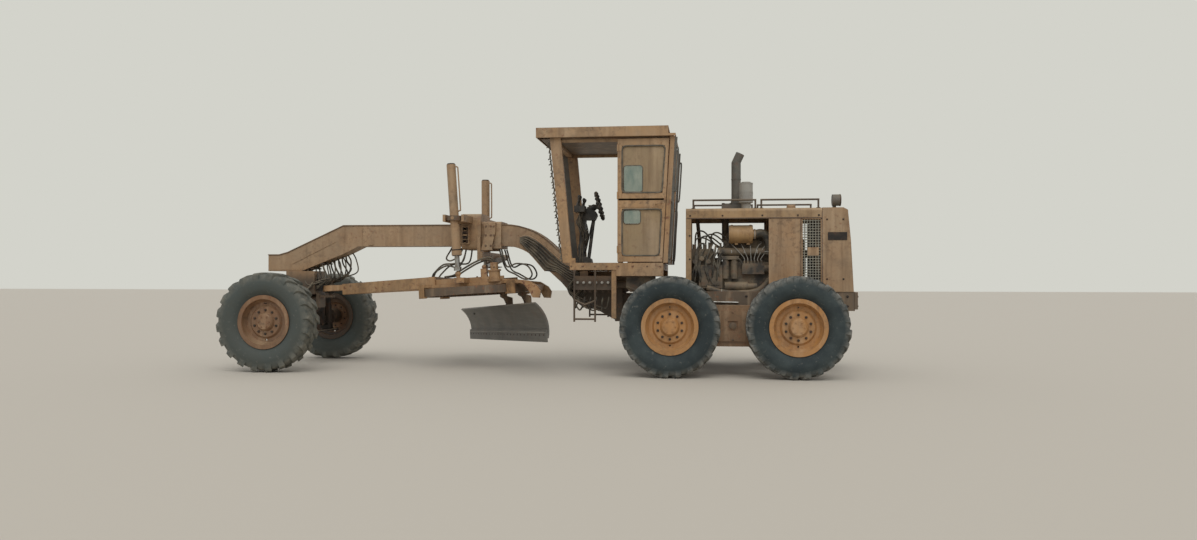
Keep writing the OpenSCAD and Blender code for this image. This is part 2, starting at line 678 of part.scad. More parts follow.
module centre_barrel() color(paint) placed() difference() {
    union() {
        centre_line() bar_z(centre_r, 0, centre_len);
        translate(centre_from()) bar_x(centre_r - 6, -centre_r - 6, centre_r + 6);
    }
    translate(centre_from()) bar_x(link_pin_r + eps, -100, 100);
    centre_line() bar_z(centre_rod_r + eps, 70, centre_len + 10);
}

module centre_rod() color(bright) placed() centre_line() {
    l = norm(centre_to() - centre_from());
    bar_z(centre_rod_r, 330, l - centre_stud_r - 44);
    bar_z(36, l - centre_stud_r - 52, l - centre_stud_r - 28);
}

// front axle
lean_y = 660;              // pins on which the wheels lean
lean_z = 600;
lean_pin_r = 30;
king_y = 760;              // pins on which the wheels steer
king_r = 35;
bar_at = [600, 950];       // pins of the lean bar
arm_l = 120;               // steering arms, straight back from the kingpins
tie_z = 450;

module front_axle() color(rust) placed() {
    difference() {
        union() {
            translate([0, 0, axle_z]) bar_x(105, -156, 224);
            box([-80, -480, 720], [80, 480, axle_z + 40]);
            both() {
                box([-50, 475, lean_z - 60], [50, 590, 855]);
                translate([0, lean_y, lean_z]) bar_x(46, -50, 50);
                box([-50, 585, lean_z - 46], [50, lean_y, lean_z + 46]);
            }
        }
        translate([0, 0, axle_z]) bar_x(axle_pin_r + eps, -300, 300);
        both() translate([0, lean_y, lean_z]) bar_x(lean_pin_r + eps, -300, 300);
        // the beam stops short of the leaning arms
        both() box([-90, 610, 480], [90, 700, lean_z - 61]);
    }
}

// Leaning arm of the right side; the left one is its mirror image.
module lean_arm() color(rust) placed() {
    for (x = [-95, 55]) translate([x, 0, 0]) rotate([90, 0, 90]) linear_extrude(40) polygon(concat(
        arc([lean_y, lean_z], 52, 190, 350, 6), [[lean_y + 45, 800], [bar_at[0] + 64, bar_at[1] - 5],
        [bar_at[0] - 4, bar_at[1] - 5]]));
    translate([0, lean_y, lean_z]) bar_x(lean_pin_r, -95, 95);
    // top bridge and the lean bar's pin
    box([-95, bar_at[0] - 5, bar_at[1] - 45], [95, bar_at[0] + 65, bar_at[1] + 5]);
    box([-150, bar_at[0] - 35, bar_at[1] - 35], [-90, bar_at[0] + 45, bar_at[1] + 35]);
    translate([0, bar_at[0], bar_at[1]]) bar_x(36, -196, -145);
    translate([0, bar_at[0], bar_at[1]]) bar_x(25, -240, -190);
    // kingpin with its lugs
    for (z = [470, 760]) translate([0, 0, z]) linear_extrude(40) polygon(concat(
        arc([0, king_y], 55, 0, 180, 10), [[-95, lean_y + 45], [-95, lean_y], [95, lean_y], [95,
            lean_y + 45]]));
    for (x = [-95, 55]) box([x, lean_y, 490], [x + 40, lean_y + 45, 780]);
    translate([0, king_y, 470]) cylinder(h = 330, r = king_r);
}

module knuckle() color(rust) placed() {
    difference() {
        union() {
            translate([0, king_y, 514]) cylinder(h = 242, r = 48);
            box([-55, king_y, 560], [55, 845, 720]);
            box([-55, 820, tie_z - 15], [55, 845, 720]);
            box([-55, king_y - 40, tie_z - 15], [55, 830, tie_z + 16]);
            hull() {
                translate([arm_l, king_y, tie_z - 15]) cylinder(h = 30, r = 20, $fn = 32);
                translate([0, king_y, tie_z - 15]) cylinder(h = 30, r = 45, $fn = 32);
            }
            translate([0, 0, front_r]) bar_y(spindle_r, 830, half_track + rim_w / 2 - disc_depth + 25);
        }
        translate([0, king_y, 500]) cylinder(h = 260, r = king_r + eps);
    }
}

module lean_bar() color(rust) placed() difference() {
    union() {
        box([-230, -bar_at[0], bar_at[1] - 30], [-200, bar_at[0], bar_at[1] + 30]);
        both() translate([0, bar_at[0], bar_at[1]]) bar_x(42, -230, -200);
    }
    // the right pin has play, for the two arms are not quite parallel when they lean
    for (s = sides) translate([0, s * bar_at[0], bar_at[1]]) bar_x(s < 0 ? 25 + eps : 32, -400, 0);
}

module tie_rod() color(rust) placed() {
    x = arm_l + 20 + eps;
    translate([x + 16, 0, tie_z]) bar_y(15, -king_y + 20, king_y - 20);
    both() box([x, king_y - 28, tie_z - 20], [x + 32, king_y + 28, tie_z + 20]);
}

// articulation cylinders
bend_r = 50;
bend_rod_r = 28;
bend_len = 560;
bend_hole = 40;
function bend_from() = [steer_foot[0], steer_foot[1], steer_z];
function bend_to() = [steer_eye[0], steer_eye[1], steer_z];
module bend_line() aimed(bend_from(), bend_to()) children();

module bend_barrel() color(paint) placed() difference() {
    union() {
        bend_line() bar_z(bend_r, 0, bend_len);
        translate(bend_from()) bar_z(bend_r - 6, -bend_r - 8, bend_r + 8);
    }
    translate(bend_from()) bar_z(22 + eps, -100, 100);
    bend_line() bar_z(bend_rod_r + eps, 80, bend_len + 10);
}

module bend_rod() color(bright) placed() difference() {
    union() {
        bend_line() bar_z(bend_rod_r, 260, norm(bend_to() - bend_from()) - 50);
        translate(bend_to()) bar_z(62, -30, 30);
    }
    translate(bend_to()) bar_z(bend_hole, -100, 100);
}

// cab
post_t = 60;
cab_lo = 1310;
sill_lo = 1234;
cab_rear = [5060, 5150];   // stations of the rear corner at the floor and at the roof
front_post = [3790, 3620]; // front of the front posts at the floor and at the roof
post_w = 130;
door_x = [4485, 5050, 5135]; // hinge edge, and the rear edge at its foot and head
door_z = [1412, 2960];
cab_front = 3880;

module cab_floor() color(paint) placed() {
    difference() {
        box([cab_front, -cab_half, cab_lo], [cab_rear[0], cab_half, floor_z]);
        // room for the neck under the front edge
        box([cab_front - 1, -beam_w / 2 - 5, cab_lo - 1], [3935, beam_w / 2 + 5, 1363]);
    }
    both() box([4470, cab_half - 120, sill_lo], [cab_rear[0], cab_half, cab_lo]);
}

module cab_frame() color(paint) placed() {
    // leaning front posts
    both() side_plate(cab_half - post_t, cab_half) polygon([[front_post[0], floor_z],
        [front_post[0] + post_w - 10, floor_z],
        [front_post[1] + post_w + 10, eave_z], [front_post[1], eave_z]]);
    // lugs that seat the front posts on the floor
    both() box([cab_front, cab_half - post_t, floor_z], [3950, cab_half, floor_z + 60]);
    // posts behind the doors' hinge edges
    both() box([4490, cab_half - door_t - post_t, floor_z], [4550, cab_half - door_t - eps, eave_z]);
    // rear posts and the wall between them
    both() side_plate(cab_half - post_t, cab_half) polygon([[cab_rear[0] - 2, floor_z],
        [cab_rear[0] + 55, floor_z],
        [cab_rear[1] + 55, eave_z], [cab_rear[1] - 2, eave_z]]);
    difference() {
        side_plate(-cab_half + post_t, cab_half - post_t) polygon([[cab_rear[0] + 10, floor_z],
            [cab_rear[0] + 40, floor_z],
            [cab_rear[1] + 40, eave_z], [cab_rear[1] + 10, eave_z]]);
        box([5000, -560, 2200], [5300, 560, 2880]);
    }
    // rails under the roof
    both() box([front_post[1] + 10, cab_half - post_t, eave_z - 55], [cab_rear[1] + 40,
        cab_half - door_t - 5, eave_z]);
    box([front_post[1] + 10, -cab_half + post_t, eave_z - 55], [front_post[1] + 80, cab_half - post_t, eave_z]);
}

module cab_roof() color(paint) placed() {
    difference() {
        box([3450, -cab_half - 50, eave_z], [5215, cab_half + 50, roof_z]);
        box([3462, -cab_half - 38, eave_z - 10], [5203, cab_half + 38, roof_z - 12]);
        box([5125, -cab_half - 60, eave_z + 30], [5230, cab_half + 60, roof_z + 10]);
    }
    box([3640, -cab_half - 40, eave_z], [5190, cab_half + 40, eave_z + 20]);
}

hub_h = 60;
module wheel_line() translate([4169, 0, 2180]) rotate([0, 75, 0]) children();

module console() color(dark) placed() {
    side_plate(-75, 75) polygon([[3870, floor_z], [4080, floor_z], [4062, 1468], [3900, 1528]]);
    // column of the steering wheel and panel of the levers' rods
    aimed([4022, 0, 1450], [4096, 0, 2040]) bar_z(23, 0, 590);
    aimed([3960, 45, 1500], [4070, 45, 1990]) bar_z(9, 0, 500);
    side_plate(-62, 62) polygon([[3888, 1500], [3960, 1500], [3990, 2010], [3922, 2010]]);
    // head with the gauges
    side_plate(-75, 75) polygon([[3915, 1990], [4110, 1985], [4142, 2050], [4096, 2122], [3965, 2140],
        [3900, 2075]]);
    wheel_line() bar_z(30, -170, -hub_h);
    both() {
        box([3872, 130, 2080], [4008, 330, 2160]);
        box([3930, 70, 2085], [3985, 140, 2130]);
        for (i = [0:4]) translate([3905, 150 + i * 40, 2150]) rotate([0, 12, 0]) cylinder(h = 120, r = 8);
    }
}

module steering_wheel() color(dark) placed() wheel_line() {
    rotate_extrude() translate([180, 0]) circle(r = 16);
    for (a = [90, 210, 330]) rotate([0, 0, a]) translate([20, -15, -6]) cube([155, 30, 12]);
    bar_z(35, -hub_h, 10);
}

module seat() color(dark) placed() {
    box([4600, -200, floor_z], [4860, 200, 1720]);
    box([4480, -250, 1720], [4950, 250, 1840]);
    translate([4880, 0, 1835]) rotate([0, 8, 0]) box([0, -240, 0], [90, 240, 560]);
}

module steps() color(rust) placed() both() {
    box([4410, cab_half - 60, 700], [4470 - eps, cab_half - 10, cab_lo - eps]);
    box([3930, 735, cab_lo - 20], [3960, 765, cab_lo]);
    for (x = [3940, 4205]) translate([x, 755, 655]) cylinder(h = cab_lo - 655, r = 12);
    translate([0, 755, 690]) bar_x(12, 3940, 4205);
    aimed([3940, 755, 930], [4075, 755, 868]) bar_z(11, 0, 149);
    aimed([4205, 755, 922], [4070, 755, 868]) bar_z(11, 0, 146);
}

module door() color(paint) placed() {
    y0 = cab_half - door_t;
    difference() {
        side_plate(y0, cab_half) polygon([[door_x[0], door_z[0]], [door_x[1], door_z[0]],
            [door_x[2], door_z[1]], [door_x[0], door_z[1]]]);
        for (w = [[4545, 5050, 2275, 2870], [4545, 5010, 1487, 2076]])
            side_plate(y0 + 12, cab_half + 5) polygon([[w[0], w[2]], [w[1], w[2]], [w[1] + 30, w[3]],
                [w[0], w[3]]]);
        // panes
        side_plate(y0 - 5, y0 + 20) translate([4600, 2310]) square([170, 240]);
        side_plate(y0 - 5, y0 + 20) translate([4605, 1930]) square([150, 110]);
    }
}

rear_frame();
tandem_cases();
axle_housing();
engine();
air_cleaner();
hood();
side_panels();
side_grilles();
tail_cowl();
exhaust_stack();
precleaner();
rear_lamp();
main_frame();
lift_saddle();
front_axle();
steps();
cab_floor();
cab_frame();
cab_roof();
console();
steering_wheel();
seat();
left_twin() door();  // door_left
door();  // door_right
left_twin() lean_arm();  // lean_arm_left
lean_arm();  // lean_arm_right
lean_bar();
left_twin() knuckle();  // knuckle_left
knuckle();  // knuckle_right
tie_rod();
tyre_at(0, -1);  // tyre_front_left
tyre_at(0, 1);  // tyre_front_right
tyre_at(1, -1);  // tyre_mid_left
tyre_at(1, 1);  // tyre_mid_right
tyre_at(2, -1);  // tyre_rear_left
tyre_at(2, 1);  // tyre_rear_right
rim_at(0, -1);  // rim_front_left
rim_at(0, 1);  // rim_front_right
rim_at(1, -1);  // rim_mid_left
rim_at(1, 1);  // rim_mid_right
rim_at(2, -1);  // rim_rear_left
rim_at(2, 1);  // rim_rear_right
left_twin() bend_barrel();  // bend_barrel_left
bend_barrel();  // bend_barrel_right
left_twin() bend_rod();  // bend_rod_left
bend_rod();  // bend_rod_right
drawbar_ball();
drawbar();
blade_circle();
blade();
shift_barrel();
shift_rod();
lift_gimbal(0);  // lift_gimbal_left
lift_gimbal(1);  // lift_gimbal_right
lift_barrel(0);  // lift_barrel_left
lift_barrel(1);  // lift_barrel_right
lift_rod(0);  // lift_rod_left
lift_rod(1);  // lift_rod_right
centre_barrel();
centre_rod();
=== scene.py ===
"""Looks of a worn, dusty motor grader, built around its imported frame.

Points are written in stations: metres behind the front axle, +Y to the right
side, +Z up from the ground. piece() shifts them to the row frame. The machine
faces -X and the camera stands on its left side, which is -Y.
"""
import random
from math import atan2, cos, hypot, pi, radians, sin, tan

import bmesh
import bpy
from mathutils import Matrix, Vector


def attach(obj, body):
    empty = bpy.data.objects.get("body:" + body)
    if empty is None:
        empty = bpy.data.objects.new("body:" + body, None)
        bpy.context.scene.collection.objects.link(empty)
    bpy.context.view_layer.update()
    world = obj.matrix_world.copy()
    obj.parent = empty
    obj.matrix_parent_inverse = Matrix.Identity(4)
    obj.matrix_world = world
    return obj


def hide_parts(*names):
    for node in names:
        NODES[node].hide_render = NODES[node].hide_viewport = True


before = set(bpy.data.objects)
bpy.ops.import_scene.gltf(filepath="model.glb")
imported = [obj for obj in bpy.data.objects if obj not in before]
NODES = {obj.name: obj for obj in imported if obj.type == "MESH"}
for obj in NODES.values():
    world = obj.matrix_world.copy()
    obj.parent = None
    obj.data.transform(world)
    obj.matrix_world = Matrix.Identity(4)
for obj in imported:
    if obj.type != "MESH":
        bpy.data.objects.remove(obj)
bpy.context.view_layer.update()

# Main sizes, the same as the part's source
CENTRE_X, CENTRE_Y = 3.44, 0.139
FRONT_R, REAR_R = 0.64, 0.62
MID_X, REAR_X = 5.156, 6.68
TRACK = 1.02
TYRE_HALF = 0.175
BEAD_R, BEAD_HALF = 0.305, 0.088
LUG_H = 0.026
BEAM_TOP, BEAM_LOW, BEAM_HALF = 1.93, 1.64, 0.15
NECK_X, NECK_Z, NECK_R, NECK_DEG = 2.9, 1.03, 0.9, 42
CAB_HALF, FLOOR_Z, EAVE_Z = 0.75, 1.4, 2.985
HOOD_HALF, HOOD_Z, BAY_Z = 0.45, 2.1, 1.97
SIDES = (("left", -1), ("right", 1))
FRONT, REAR = "front_frame", "rear_frame"
UP, NEAR = (0, 0, 1), (0, -1, 0)

# The drawbar, and the circle with its blade, stand at their own tilt
BALL = Vector((0.4, 0, 1.06))
ON_BAR = (Matrix.Translation(BALL) @ Matrix.Rotation(radians(-3.6), 4, "Y")
          @ Matrix.Rotation(radians(-1.3), 4, "X"))
ON_CIRCLE = (ON_BAR @ Matrix.Translation((2.062, 0, -0.21))
             @ Matrix.Rotation(radians(29.4), 4, "Z"))


def turns(n, first=0.0):
    """n equal steps of one full turn, in radians."""
    return [first + 2 * pi * k / n for k in range(n)]


def pair(name):
    return [f"{name}_left", f"{name}_right"]


# Camera
FOCAL_PX, PHOTO_PX = 880, 1197
EYE = (5.569 - CENTRE_X, -11.755 - CENTRE_Y, 1.177)


def set_up_camera():
    """The photograph's viewpoint: standing height, square to the left side."""
    lens = bpy.data.cameras.new("viewpoint")
    lens.sensor_width = 36.0
    lens.lens = FOCAL_PX / PHOTO_PX * lens.sensor_width
    lens.clip_end = 300
    eye = bpy.data.objects.new("viewpoint", lens)
    eye.matrix_world = (Matrix.Translation(EYE)
                        @ Matrix.Rotation(0.1196, 4, "Z")
                        @ Matrix.Rotation(pi / 2 + 0.0119, 4, "X")
                        @ Matrix.Rotation(0.0017, 4, "Z"))
    bpy.context.scene.collection.objects.link(eye)
    bpy.context.scene.camera = eye


# Materials
def linear(code):
    """An sRGB hex value as the linear colour that a shader takes; a socket as it is."""
    if not isinstance(code, str):
        return code
    parts = [int(code[i:i + 2], 16) / 255 for i in (1, 3, 5)]
    return [c / 12.92 if c <= 0.04045 else ((c + 0.055) / 1.055) ** 2.4
            for c in parts] + [1.0]


def add(tree, kind, inputs=None, **settings):
    """Adds one node with its settings and with its sockets' values or links."""
    node = tree.nodes.new("ShaderNode" + kind)
    for name, value in settings.items():
        setattr(node, name, value)
    for key, value in (inputs or {}).items():
        if isinstance(value, bpy.types.NodeSocket):
            tree.links.new(value, node.inputs[key])
        else:
            node.inputs[key].default_value = value
    return node


class Coat:
    """One material: a base colour and the layers over it, in the object's own place."""

    def __init__(self, name, base, roughness=0.5, metallic=0.0):
        self.material = bpy.data.materials.new(name)
        self.material.use_nodes = True
        self.tree = self.material.node_tree
        self.shader = self.tree.nodes["Principled BSDF"]
        for socket, value in (("Base Color", linear(base)), ("Roughness", roughness),
                              ("Metallic", metallic)):
            self.shader.inputs[socket].default_value = value
        self.colour = base
        self.place = self.node("TexCoord").outputs["Object"]

    def node(self, kind, inputs=None, **settings):
        return add(self.tree, kind, inputs, **settings)

    def math(self, kind, a, b):
        return self.node("Math", {0: a, 1: b}, operation=kind).outputs[0]

    def times(self, *masks):
        """Product of masks."""
        out = masks[0]
        for mask in masks[1:]:
            out = self.math("MULTIPLY", out, mask)
        return out

    def ramp(self, value, low, high):
        """0 where the value is low and 1 where it is high."""
        return self.node("MapRange", {"Value": value, "From Min": low,
                                      "From Max": high}).outputs[0]

    def cloud(self, size_mm, low, high, stretch=(1, 1, 1), detail=4.0):
        """A soft-edged mask of patches about size_mm wide, from low to high."""
        where = self.node("Mapping", {"Vector": self.place, "Scale": stretch})
        noise = self.node("TexNoise", {"Vector": where.outputs[0], "Scale": 1000 / size_mm / 2,
                                       "Detail": detail, "Roughness": 0.62})
        return self.ramp(noise.outputs[0], low, high)

    def upward(self, low=0.35, high=0.95):
        """1 on faces that look up, where dust settles, and 0 on the others."""
        normal = self.node("NewGeometry").outputs["Normal"]
        return self.ramp(self.node("SeparateXYZ", {0: normal}).outputs["Z"], low, high)

    def worn_edge(self, width_mm, low=0.015, high=0.12):
        """1 along corners, where a coat rubs off first, by a rounded normal."""
        normal = self.node("NewGeometry").outputs["Normal"]
        rounded = self.node("Bevel", {"Radius": width_mm / 1000}, samples=4).outputs[0]
        along = self.node("VectorMath", {0: normal, 1: rounded},
                          operation="DOT_PRODUCT").outputs["Value"]
        return self.ramp(self.math("SUBTRACT", 1.0, along), low, high)

    def mix(self, under, colour, mask):
        """A colour over the one under it, as far as the mask shows it."""
        return self.node("Mix", {0: mask, 6: linear(under), 7: linear(colour)},
                         data_type="RGBA").outputs[2]

    def lay(self, colour, mask):
        """The next layer of the coat."""
        self.colour = self.mix(self.colour, colour, mask)

    def done(self, height=None, strength=0.0, distance=0.0):
        """Joins the layers, and the relief if there is one, to the shader."""
        self.tree.links.new(self.colour, self.shader.inputs["Base Color"])
        if height is not None:
            relief = self.node("Bump", {"Height": height, "Strength": strength,
                                        "Distance": distance})
            self.tree.links.new(relief.outputs[0], self.shader.inputs["Normal"])
        return self.material


def faded_enamel(name, fresh, faded, rust=0.5, dust=0.6, grime=0.4, darkened_along=None):
    """Sprayed machine enamel after years of sun and dust.

    It gives the eye chalky patches, vertical run marks, rust that starts at
    corners and chips, dark grease in places and tan dust on level faces.
    darkened_along names an axis and the two places between which a dark brown
    takes over: painted shade low on the front frame under the cab floor and inside the front
    rims; on the hood and the steps it only darkens the enamel along the axis.
    """
    coat = Coat(name, fresh, 0.62)
    cloud, times = coat.cloud, coat.times
    coat.lay(faded, cloud(420, 0.36, 0.62))
    pale_runs = cloud(70, 0.5, 0.72, (1, 1, 0.16))
    coat.lay("#C0A585", times(pale_runs, 0.42))
    dark_runs = cloud(46, 0.5, 0.72, (1, 1, 0.09))
    coat.lay("#6E5338", times(dark_runs, 0.55))
    stains = times(cloud(24, 0.5, 0.64, detail=7.0), cloud(190, 0.4, 0.62), 0.25 + 0.5 * rust)
    coat.lay("#5F4A36", stains)
    grease = times(cloud(300, 0.5, 0.68), cloud(40, 0.35, 0.6), grime)
    coat.lay("#3B2E24", grease)
    # A dark brown ramp along one axis: painted shade under the cab floor and inside the front
    # wheels.
    if darkened_along:
        axis, clean, dark = darkened_along
        along_axis = coat.node("SeparateXYZ", {0: coat.place}).outputs[axis]
        coat.lay("#3A312A", times(coat.ramp(along_axis, clean, dark), 0.94))
    chips = times(cloud(30, 0.57, 0.63, detail=6.0), cloud(260, 0.42, 0.58), rust)
    rim = times(coat.worn_edge(9), cloud(35, 0.35, 0.62), rust * 1.3)
    bare = coat.math("MAXIMUM", chips, rim)
    coat.lay(coat.mix("#5A3524", "#8A5A3A", cloud(12, 0.4, 0.6)), bare)
    settled = times(coat.upward(), cloud(160, 0.25, 0.6), dust)
    film = times(cloud(650, 0.35, 0.75), dust * 0.35)
    dusty = coat.math("MAXIMUM", settled, film)
    coat.lay("#B39C7C", dusty)
    rough = coat.node("MapRange", {"Value": dusty, "To Min": 0.52, "To Max": 0.92}).outputs[0]
    coat.tree.links.new(rough, coat.shader.inputs["Roughness"])
    orange_peel = cloud(7, 0.2, 0.8, detail=2.0)
    return coat.done(coat.math("ADD", orange_peel, times(bare, -1.5)), 0.18, 0.002)


def greasy_steel(name, base, light, metallic=0.25, rust=0.5):
    """Rolled or forged steel under old grease and caked dust.

    It gives the eye a dark, uneven brown-black with dull tan bloom on top.
    """
    coat = Coat(name, base, 0.7, metallic)
    cloud, times = coat.cloud, coat.times
    coat.lay(light, cloud(90, 0.38, 0.66))
    coat.lay("#5E3A28", times(cloud(45, 0.52, 0.66, detail=6.0), rust))
    coat.lay("#8F7C62", times(coat.upward(0.2, 0.9), cloud(110, 0.3, 0.62), 0.75))
    return coat.done(cloud(9, 0.2, 0.8, detail=5.0), 0.35, 0.002)


def scoured_blade_steel():
    """High-carbon blade steel polished by soil, then dulled by the weather.

    It gives the eye a smooth dark grey with long faint scratches.
    """
    coat = Coat("scoured_blade_steel", "#5A5853", 0.5, 0.55)
    cloud, times = coat.cloud, coat.times
    coat.lay("#6E6B64", cloud(260, 0.35, 0.65))
    scratches = cloud(14, 0.5, 0.72, (0.06, 0.06, 1), detail=6.0)
    coat.lay("#8B877D", times(scratches, 0.35))
    coat.lay("#6B4B36", times(cloud(120, 0.56, 0.74, detail=6.0), 0.45))
    coat.lay("#A08E73", times(coat.upward(), cloud(90, 0.3, 0.6), 0.8))
    return coat.done(scratches, 0.12, 0.001)


def weathered_tyre(name, centre, radius, wall, tread, dust_from):
    """Natural-rubber tyre, moulded, sun-bleached and caked on its shoulders.

    It gives the eye a smooth dark wall that turns to pale, gritty dust
    towards the lugs.
    """
    coat = Coat(name, wall, 0.78)
    cloud, times = coat.cloud, coat.times
    axes = coat.node("SeparateXYZ", {0: coat.place}).outputs
    flat = coat.node("CombineXYZ", {
        "X": coat.math("SUBTRACT", axes["X"], centre[0] - CENTRE_X),
        "Y": coat.math("SUBTRACT", axes["Z"], centre[1])})
    reach = coat.node("VectorMath", {0: flat.outputs[0]}, operation="LENGTH").outputs["Value"]
    outer = coat.ramp(reach, radius * dust_from, radius * 0.985)
    caked = times(outer, cloud(38, 0.3, 0.66, detail=7.0))
    coat.lay("#46504F", times(cloud(150, 0.42, 0.72), 0.6))
    coat.lay("#7C7A72", times(cloud(22, 0.6, 0.7, detail=7.0), 0.35))
    coat.lay(tread, caked)
    return coat.done(cloud(6, 0.2, 0.8, detail=5.0), 0.3, 0.0015)


def moulded(name, base, bloom, roughness=0.6, dust=0.5):
    """Moulded rubber or ABS that the sun has bleached; it looks dull and dry."""
    coat = Coat(name, base, roughness)
    coat.lay(bloom, coat.cloud(60, 0.4, 0.7))
    coat.lay("#8D7B62", coat.times(coat.upward(0.1, 0.9), coat.cloud(50, 0.3, 0.6), dust))
    return coat.done(coat.cloud(3, 0.2, 0.8), 0.2, 0.0006)


def clouded_glass():
    """Old laminated glass with a milky green edge tint and dried dust on it."""
    coat = Coat("clouded_glass", "#7F9186", 0.22)
    coat.lay("#A5AC9D", coat.cloud(60, 0.35, 0.65, (1, 1, 0.5)))
    coat.shader.inputs["IOR"].default_value = 1.52
    coat.shader.inputs["Alpha"].default_value = 0.72
    return coat.done()


def hard_chrome():
    """Hard-chromed rod, ground round; it mirrors the sky in one long streak."""
    coat = Coat("hard_chrome", "#A7A59E", 0.28, 0.9)
    coat.lay("#7D6F5C", coat.cloud(40, 0.46, 0.72))
    return coat.done()


FRONT_TYRE = dict(centre=(0, FRONT_R), radius=FRONT_R, wall="#484C47", tread="#7C786C",
                  dust_from=0.8)
MID_TYRE = dict(centre=(MID_X, REAR_R), radius=REAR_R, wall="#252F31", tread="#8A867D",
                dust_from=0.84)
REAR_TYRE = dict(MID_TYRE, centre=(REAR_X, REAR_R))
TYRES = {
    "front": weathered_tyre("front_tyre_rubber", **FRONT_TYRE),
    "mid": weathered_tyre("mid_tyre_rubber", **MID_TYRE),
    "rear": weathered_tyre("rear_tyre_rubber", **REAR_TYRE),
}
ENAMEL = faded_enamel("sun_faded_enamel", "#A37F5A", "#9E8568")
# Darker from z 1.33 down to 1.16: painted shade on the front frame under the cab floor.
BEAM_ENAMEL = faded_enamel("beam_enamel", "#9E7B57", "#9A8064", darkened_along=("Z", 1.33, 1.16))
HOOD_ENAMEL = faded_enamel("hood_enamel", "#A6845A", "#A28869", darkened_along=("Z", 2.103, 2.106))
CAB_ENAMEL = faded_enamel("rusting_cab_enamel", "#A88257", "#A08262", rust=0.9, grime=0.6)
STEP_ENAMEL = faded_enamel("step_enamel", "#A57F54", "#8F7052", rust=0.9, grime=0.6,
                           darkened_along=("X", 4.33 - CENTRE_X, 4.29 - CENTRE_X))
PANEL_ENAMEL = faded_enamel("dull_panel_enamel", "#967E5A", "#8F7B61", rust=0.2, grime=0.12)
BAR_ENAMEL = faded_enamel("drawbar_enamel", "#A87F54", "#997955", rust=1.0, grime=0.75)
CASE_ENAMEL = faded_enamel("tandem_case_enamel", "#86633F", "#78593E", rust=0.8, grime=0.8)
FRAME_ENAMEL = faded_enamel("greasy_frame_enamel", "#5B4C3D", "#50463C", rust=0.9, grime=0.95)
DRIVE_RIM = faded_enamel("touched_up_rim_enamel", "#B17B41", "#A87C4D", rust=0.35, dust=0.25,
                         grime=0.5)
# The front rims darken towards the machine's middle: painted shade on their inner sides, over
# real rust and grime.
FRONT_RIMS = {
    "left": faded_enamel("left_rusting_rim_enamel_inner_shade", "#865E3D", "#785B43", rust=0.9, dust=0.35,
                         grime=0.8, darkened_along=("Y", -1.06 - CENTRE_Y, -1.02 - CENTRE_Y)),
    "right": faded_enamel("right_rusting_rim_enamel_inner_shade", "#865E3D", "#785B43", rust=0.9, dust=0.35,
                          grime=0.8, darkened_along=("Y", 1.06 - CENTRE_Y, 1.02 - CENTRE_Y)),
}
CLEAN_ENAMEL = faded_enamel("air_cleaner_enamel", "#A5804F", "#9F7E58", rust=0.3, dust=0.7,
                            grime=0.3)
GREASY = greasy_steel("greasy_forged_steel", "#2C2723", "#4A3F35")
IRON = greasy_steel("oily_cast_iron", "#423D37", "#857660", 0.1, 0.5)
RUSTY = greasy_steel("weathered_pipe_steel", "#595751", "#716D64", 0.1, 0.35)
WIRE = greasy_steel("dusty_wire_mesh", "#8E8B7E", "#A39F8D", 0.05, 0.25)
ZINC = greasy_steel("weathered_zinc_sheet", "#94918A", "#ABA89E", 0.2, 0.2)
BLADE = scoured_blade_steel()
CHROME = hard_chrome()
HOSE = moulded("hydraulic_hose_rubber", "#35322D", "#746B5B", 0.7, 0.8)
BLACK_ABS = moulded("sun_bleached_black_abs", "#292825", "#524D45", 0.6, 0.8)
VINYL = moulded("cracked_seat_vinyl", "#2A2522", "#4A423A", 0.55, 0.7)
SEAL = moulded("perished_door_seal", "#504B42", "#7A7162", 0.8)
GLASS = clouded_glass()


# Mesh shapes: each gives (points, faces) of a closed shell in stations
def skin(rings, n, closed=False):
    """Faces between rings of n points, then the two ends or the way back round."""
    faces = []
    for i in range(rings if closed else rings - 1):
        here, after = i * n, (i + 1) % rings * n
        faces += [[here + k, here + (k + 1) % n, after + (k + 1) % n, after + k]
                  for k in range(n)]
    if not closed:
        faces += [list(range(n)), list(range((rings - 1) * n, rings * n))]
    return faces


def block(low, high, edge=0.004):
    """A box with its edges taken off."""
    low, high = Vector(low), Vector(high)
    edge = min(edge, *((high - low) / 3))
    points, faces = [], []
    for i in range(8):
        for axis in range(3):
            p = [(high if i >> k & 1 else low)[k] for k in range(3)]
            for k in range(3):
                if k != axis:
                    p[k] += -edge if i >> k & 1 else edge
            points.append(p)
    for axis in range(3):
        a, b = (axis + 1) % 3, (axis + 2) % 3
        u, v, w = 1 << a, 1 << b, 1 << axis
        for side in (0, w):
            faces.append([3 * (side + k) + axis for k in (0, u, u + v, v)])
        for i in (0, u, v, u + v):
            faces.append([3 * i + a, 3 * (i + w) + a, 3 * (i + w) + b, 3 * i + b])
    faces += [[3 * i, 3 * i + 1, 3 * i + 2] for i in range(8)]
    return points, faces


def lathe(outline, at, along=UP, n=28, closed=False):
    """Turns (distance, radius) pairs about a line through at."""
    z = Vector(along).normalized()
    x = z.orthogonal().normalized()
    y = z.cross(x)
    points = []
    for d, r in outline:
        points += [Vector(at) + z * d + (x * cos(a) + y * sin(a)) * r for a in turns(n)]
    return points, skin(len(outline), n, closed)


def smooth_line(points, steps=6):
    """More points on one smooth curve through the given ones."""
    pts = [Vector(p) for p in points]
    pts = [pts[0] * 2 - pts[1], *pts, pts[-1] * 2 - pts[-2]]
    line = []
    for a, b, c, d in zip(pts, pts[1:], pts[2:], pts[3:]):
        for i in range(steps):
            t = i / steps
            line.append(0.5 * (2 * b + (c - a) * t + (2 * a - 5 * b + 4 * c - d) * t * t
                               + (3 * b - a - 3 * c + d) * t ** 3))
    return line + [pts[-2]]


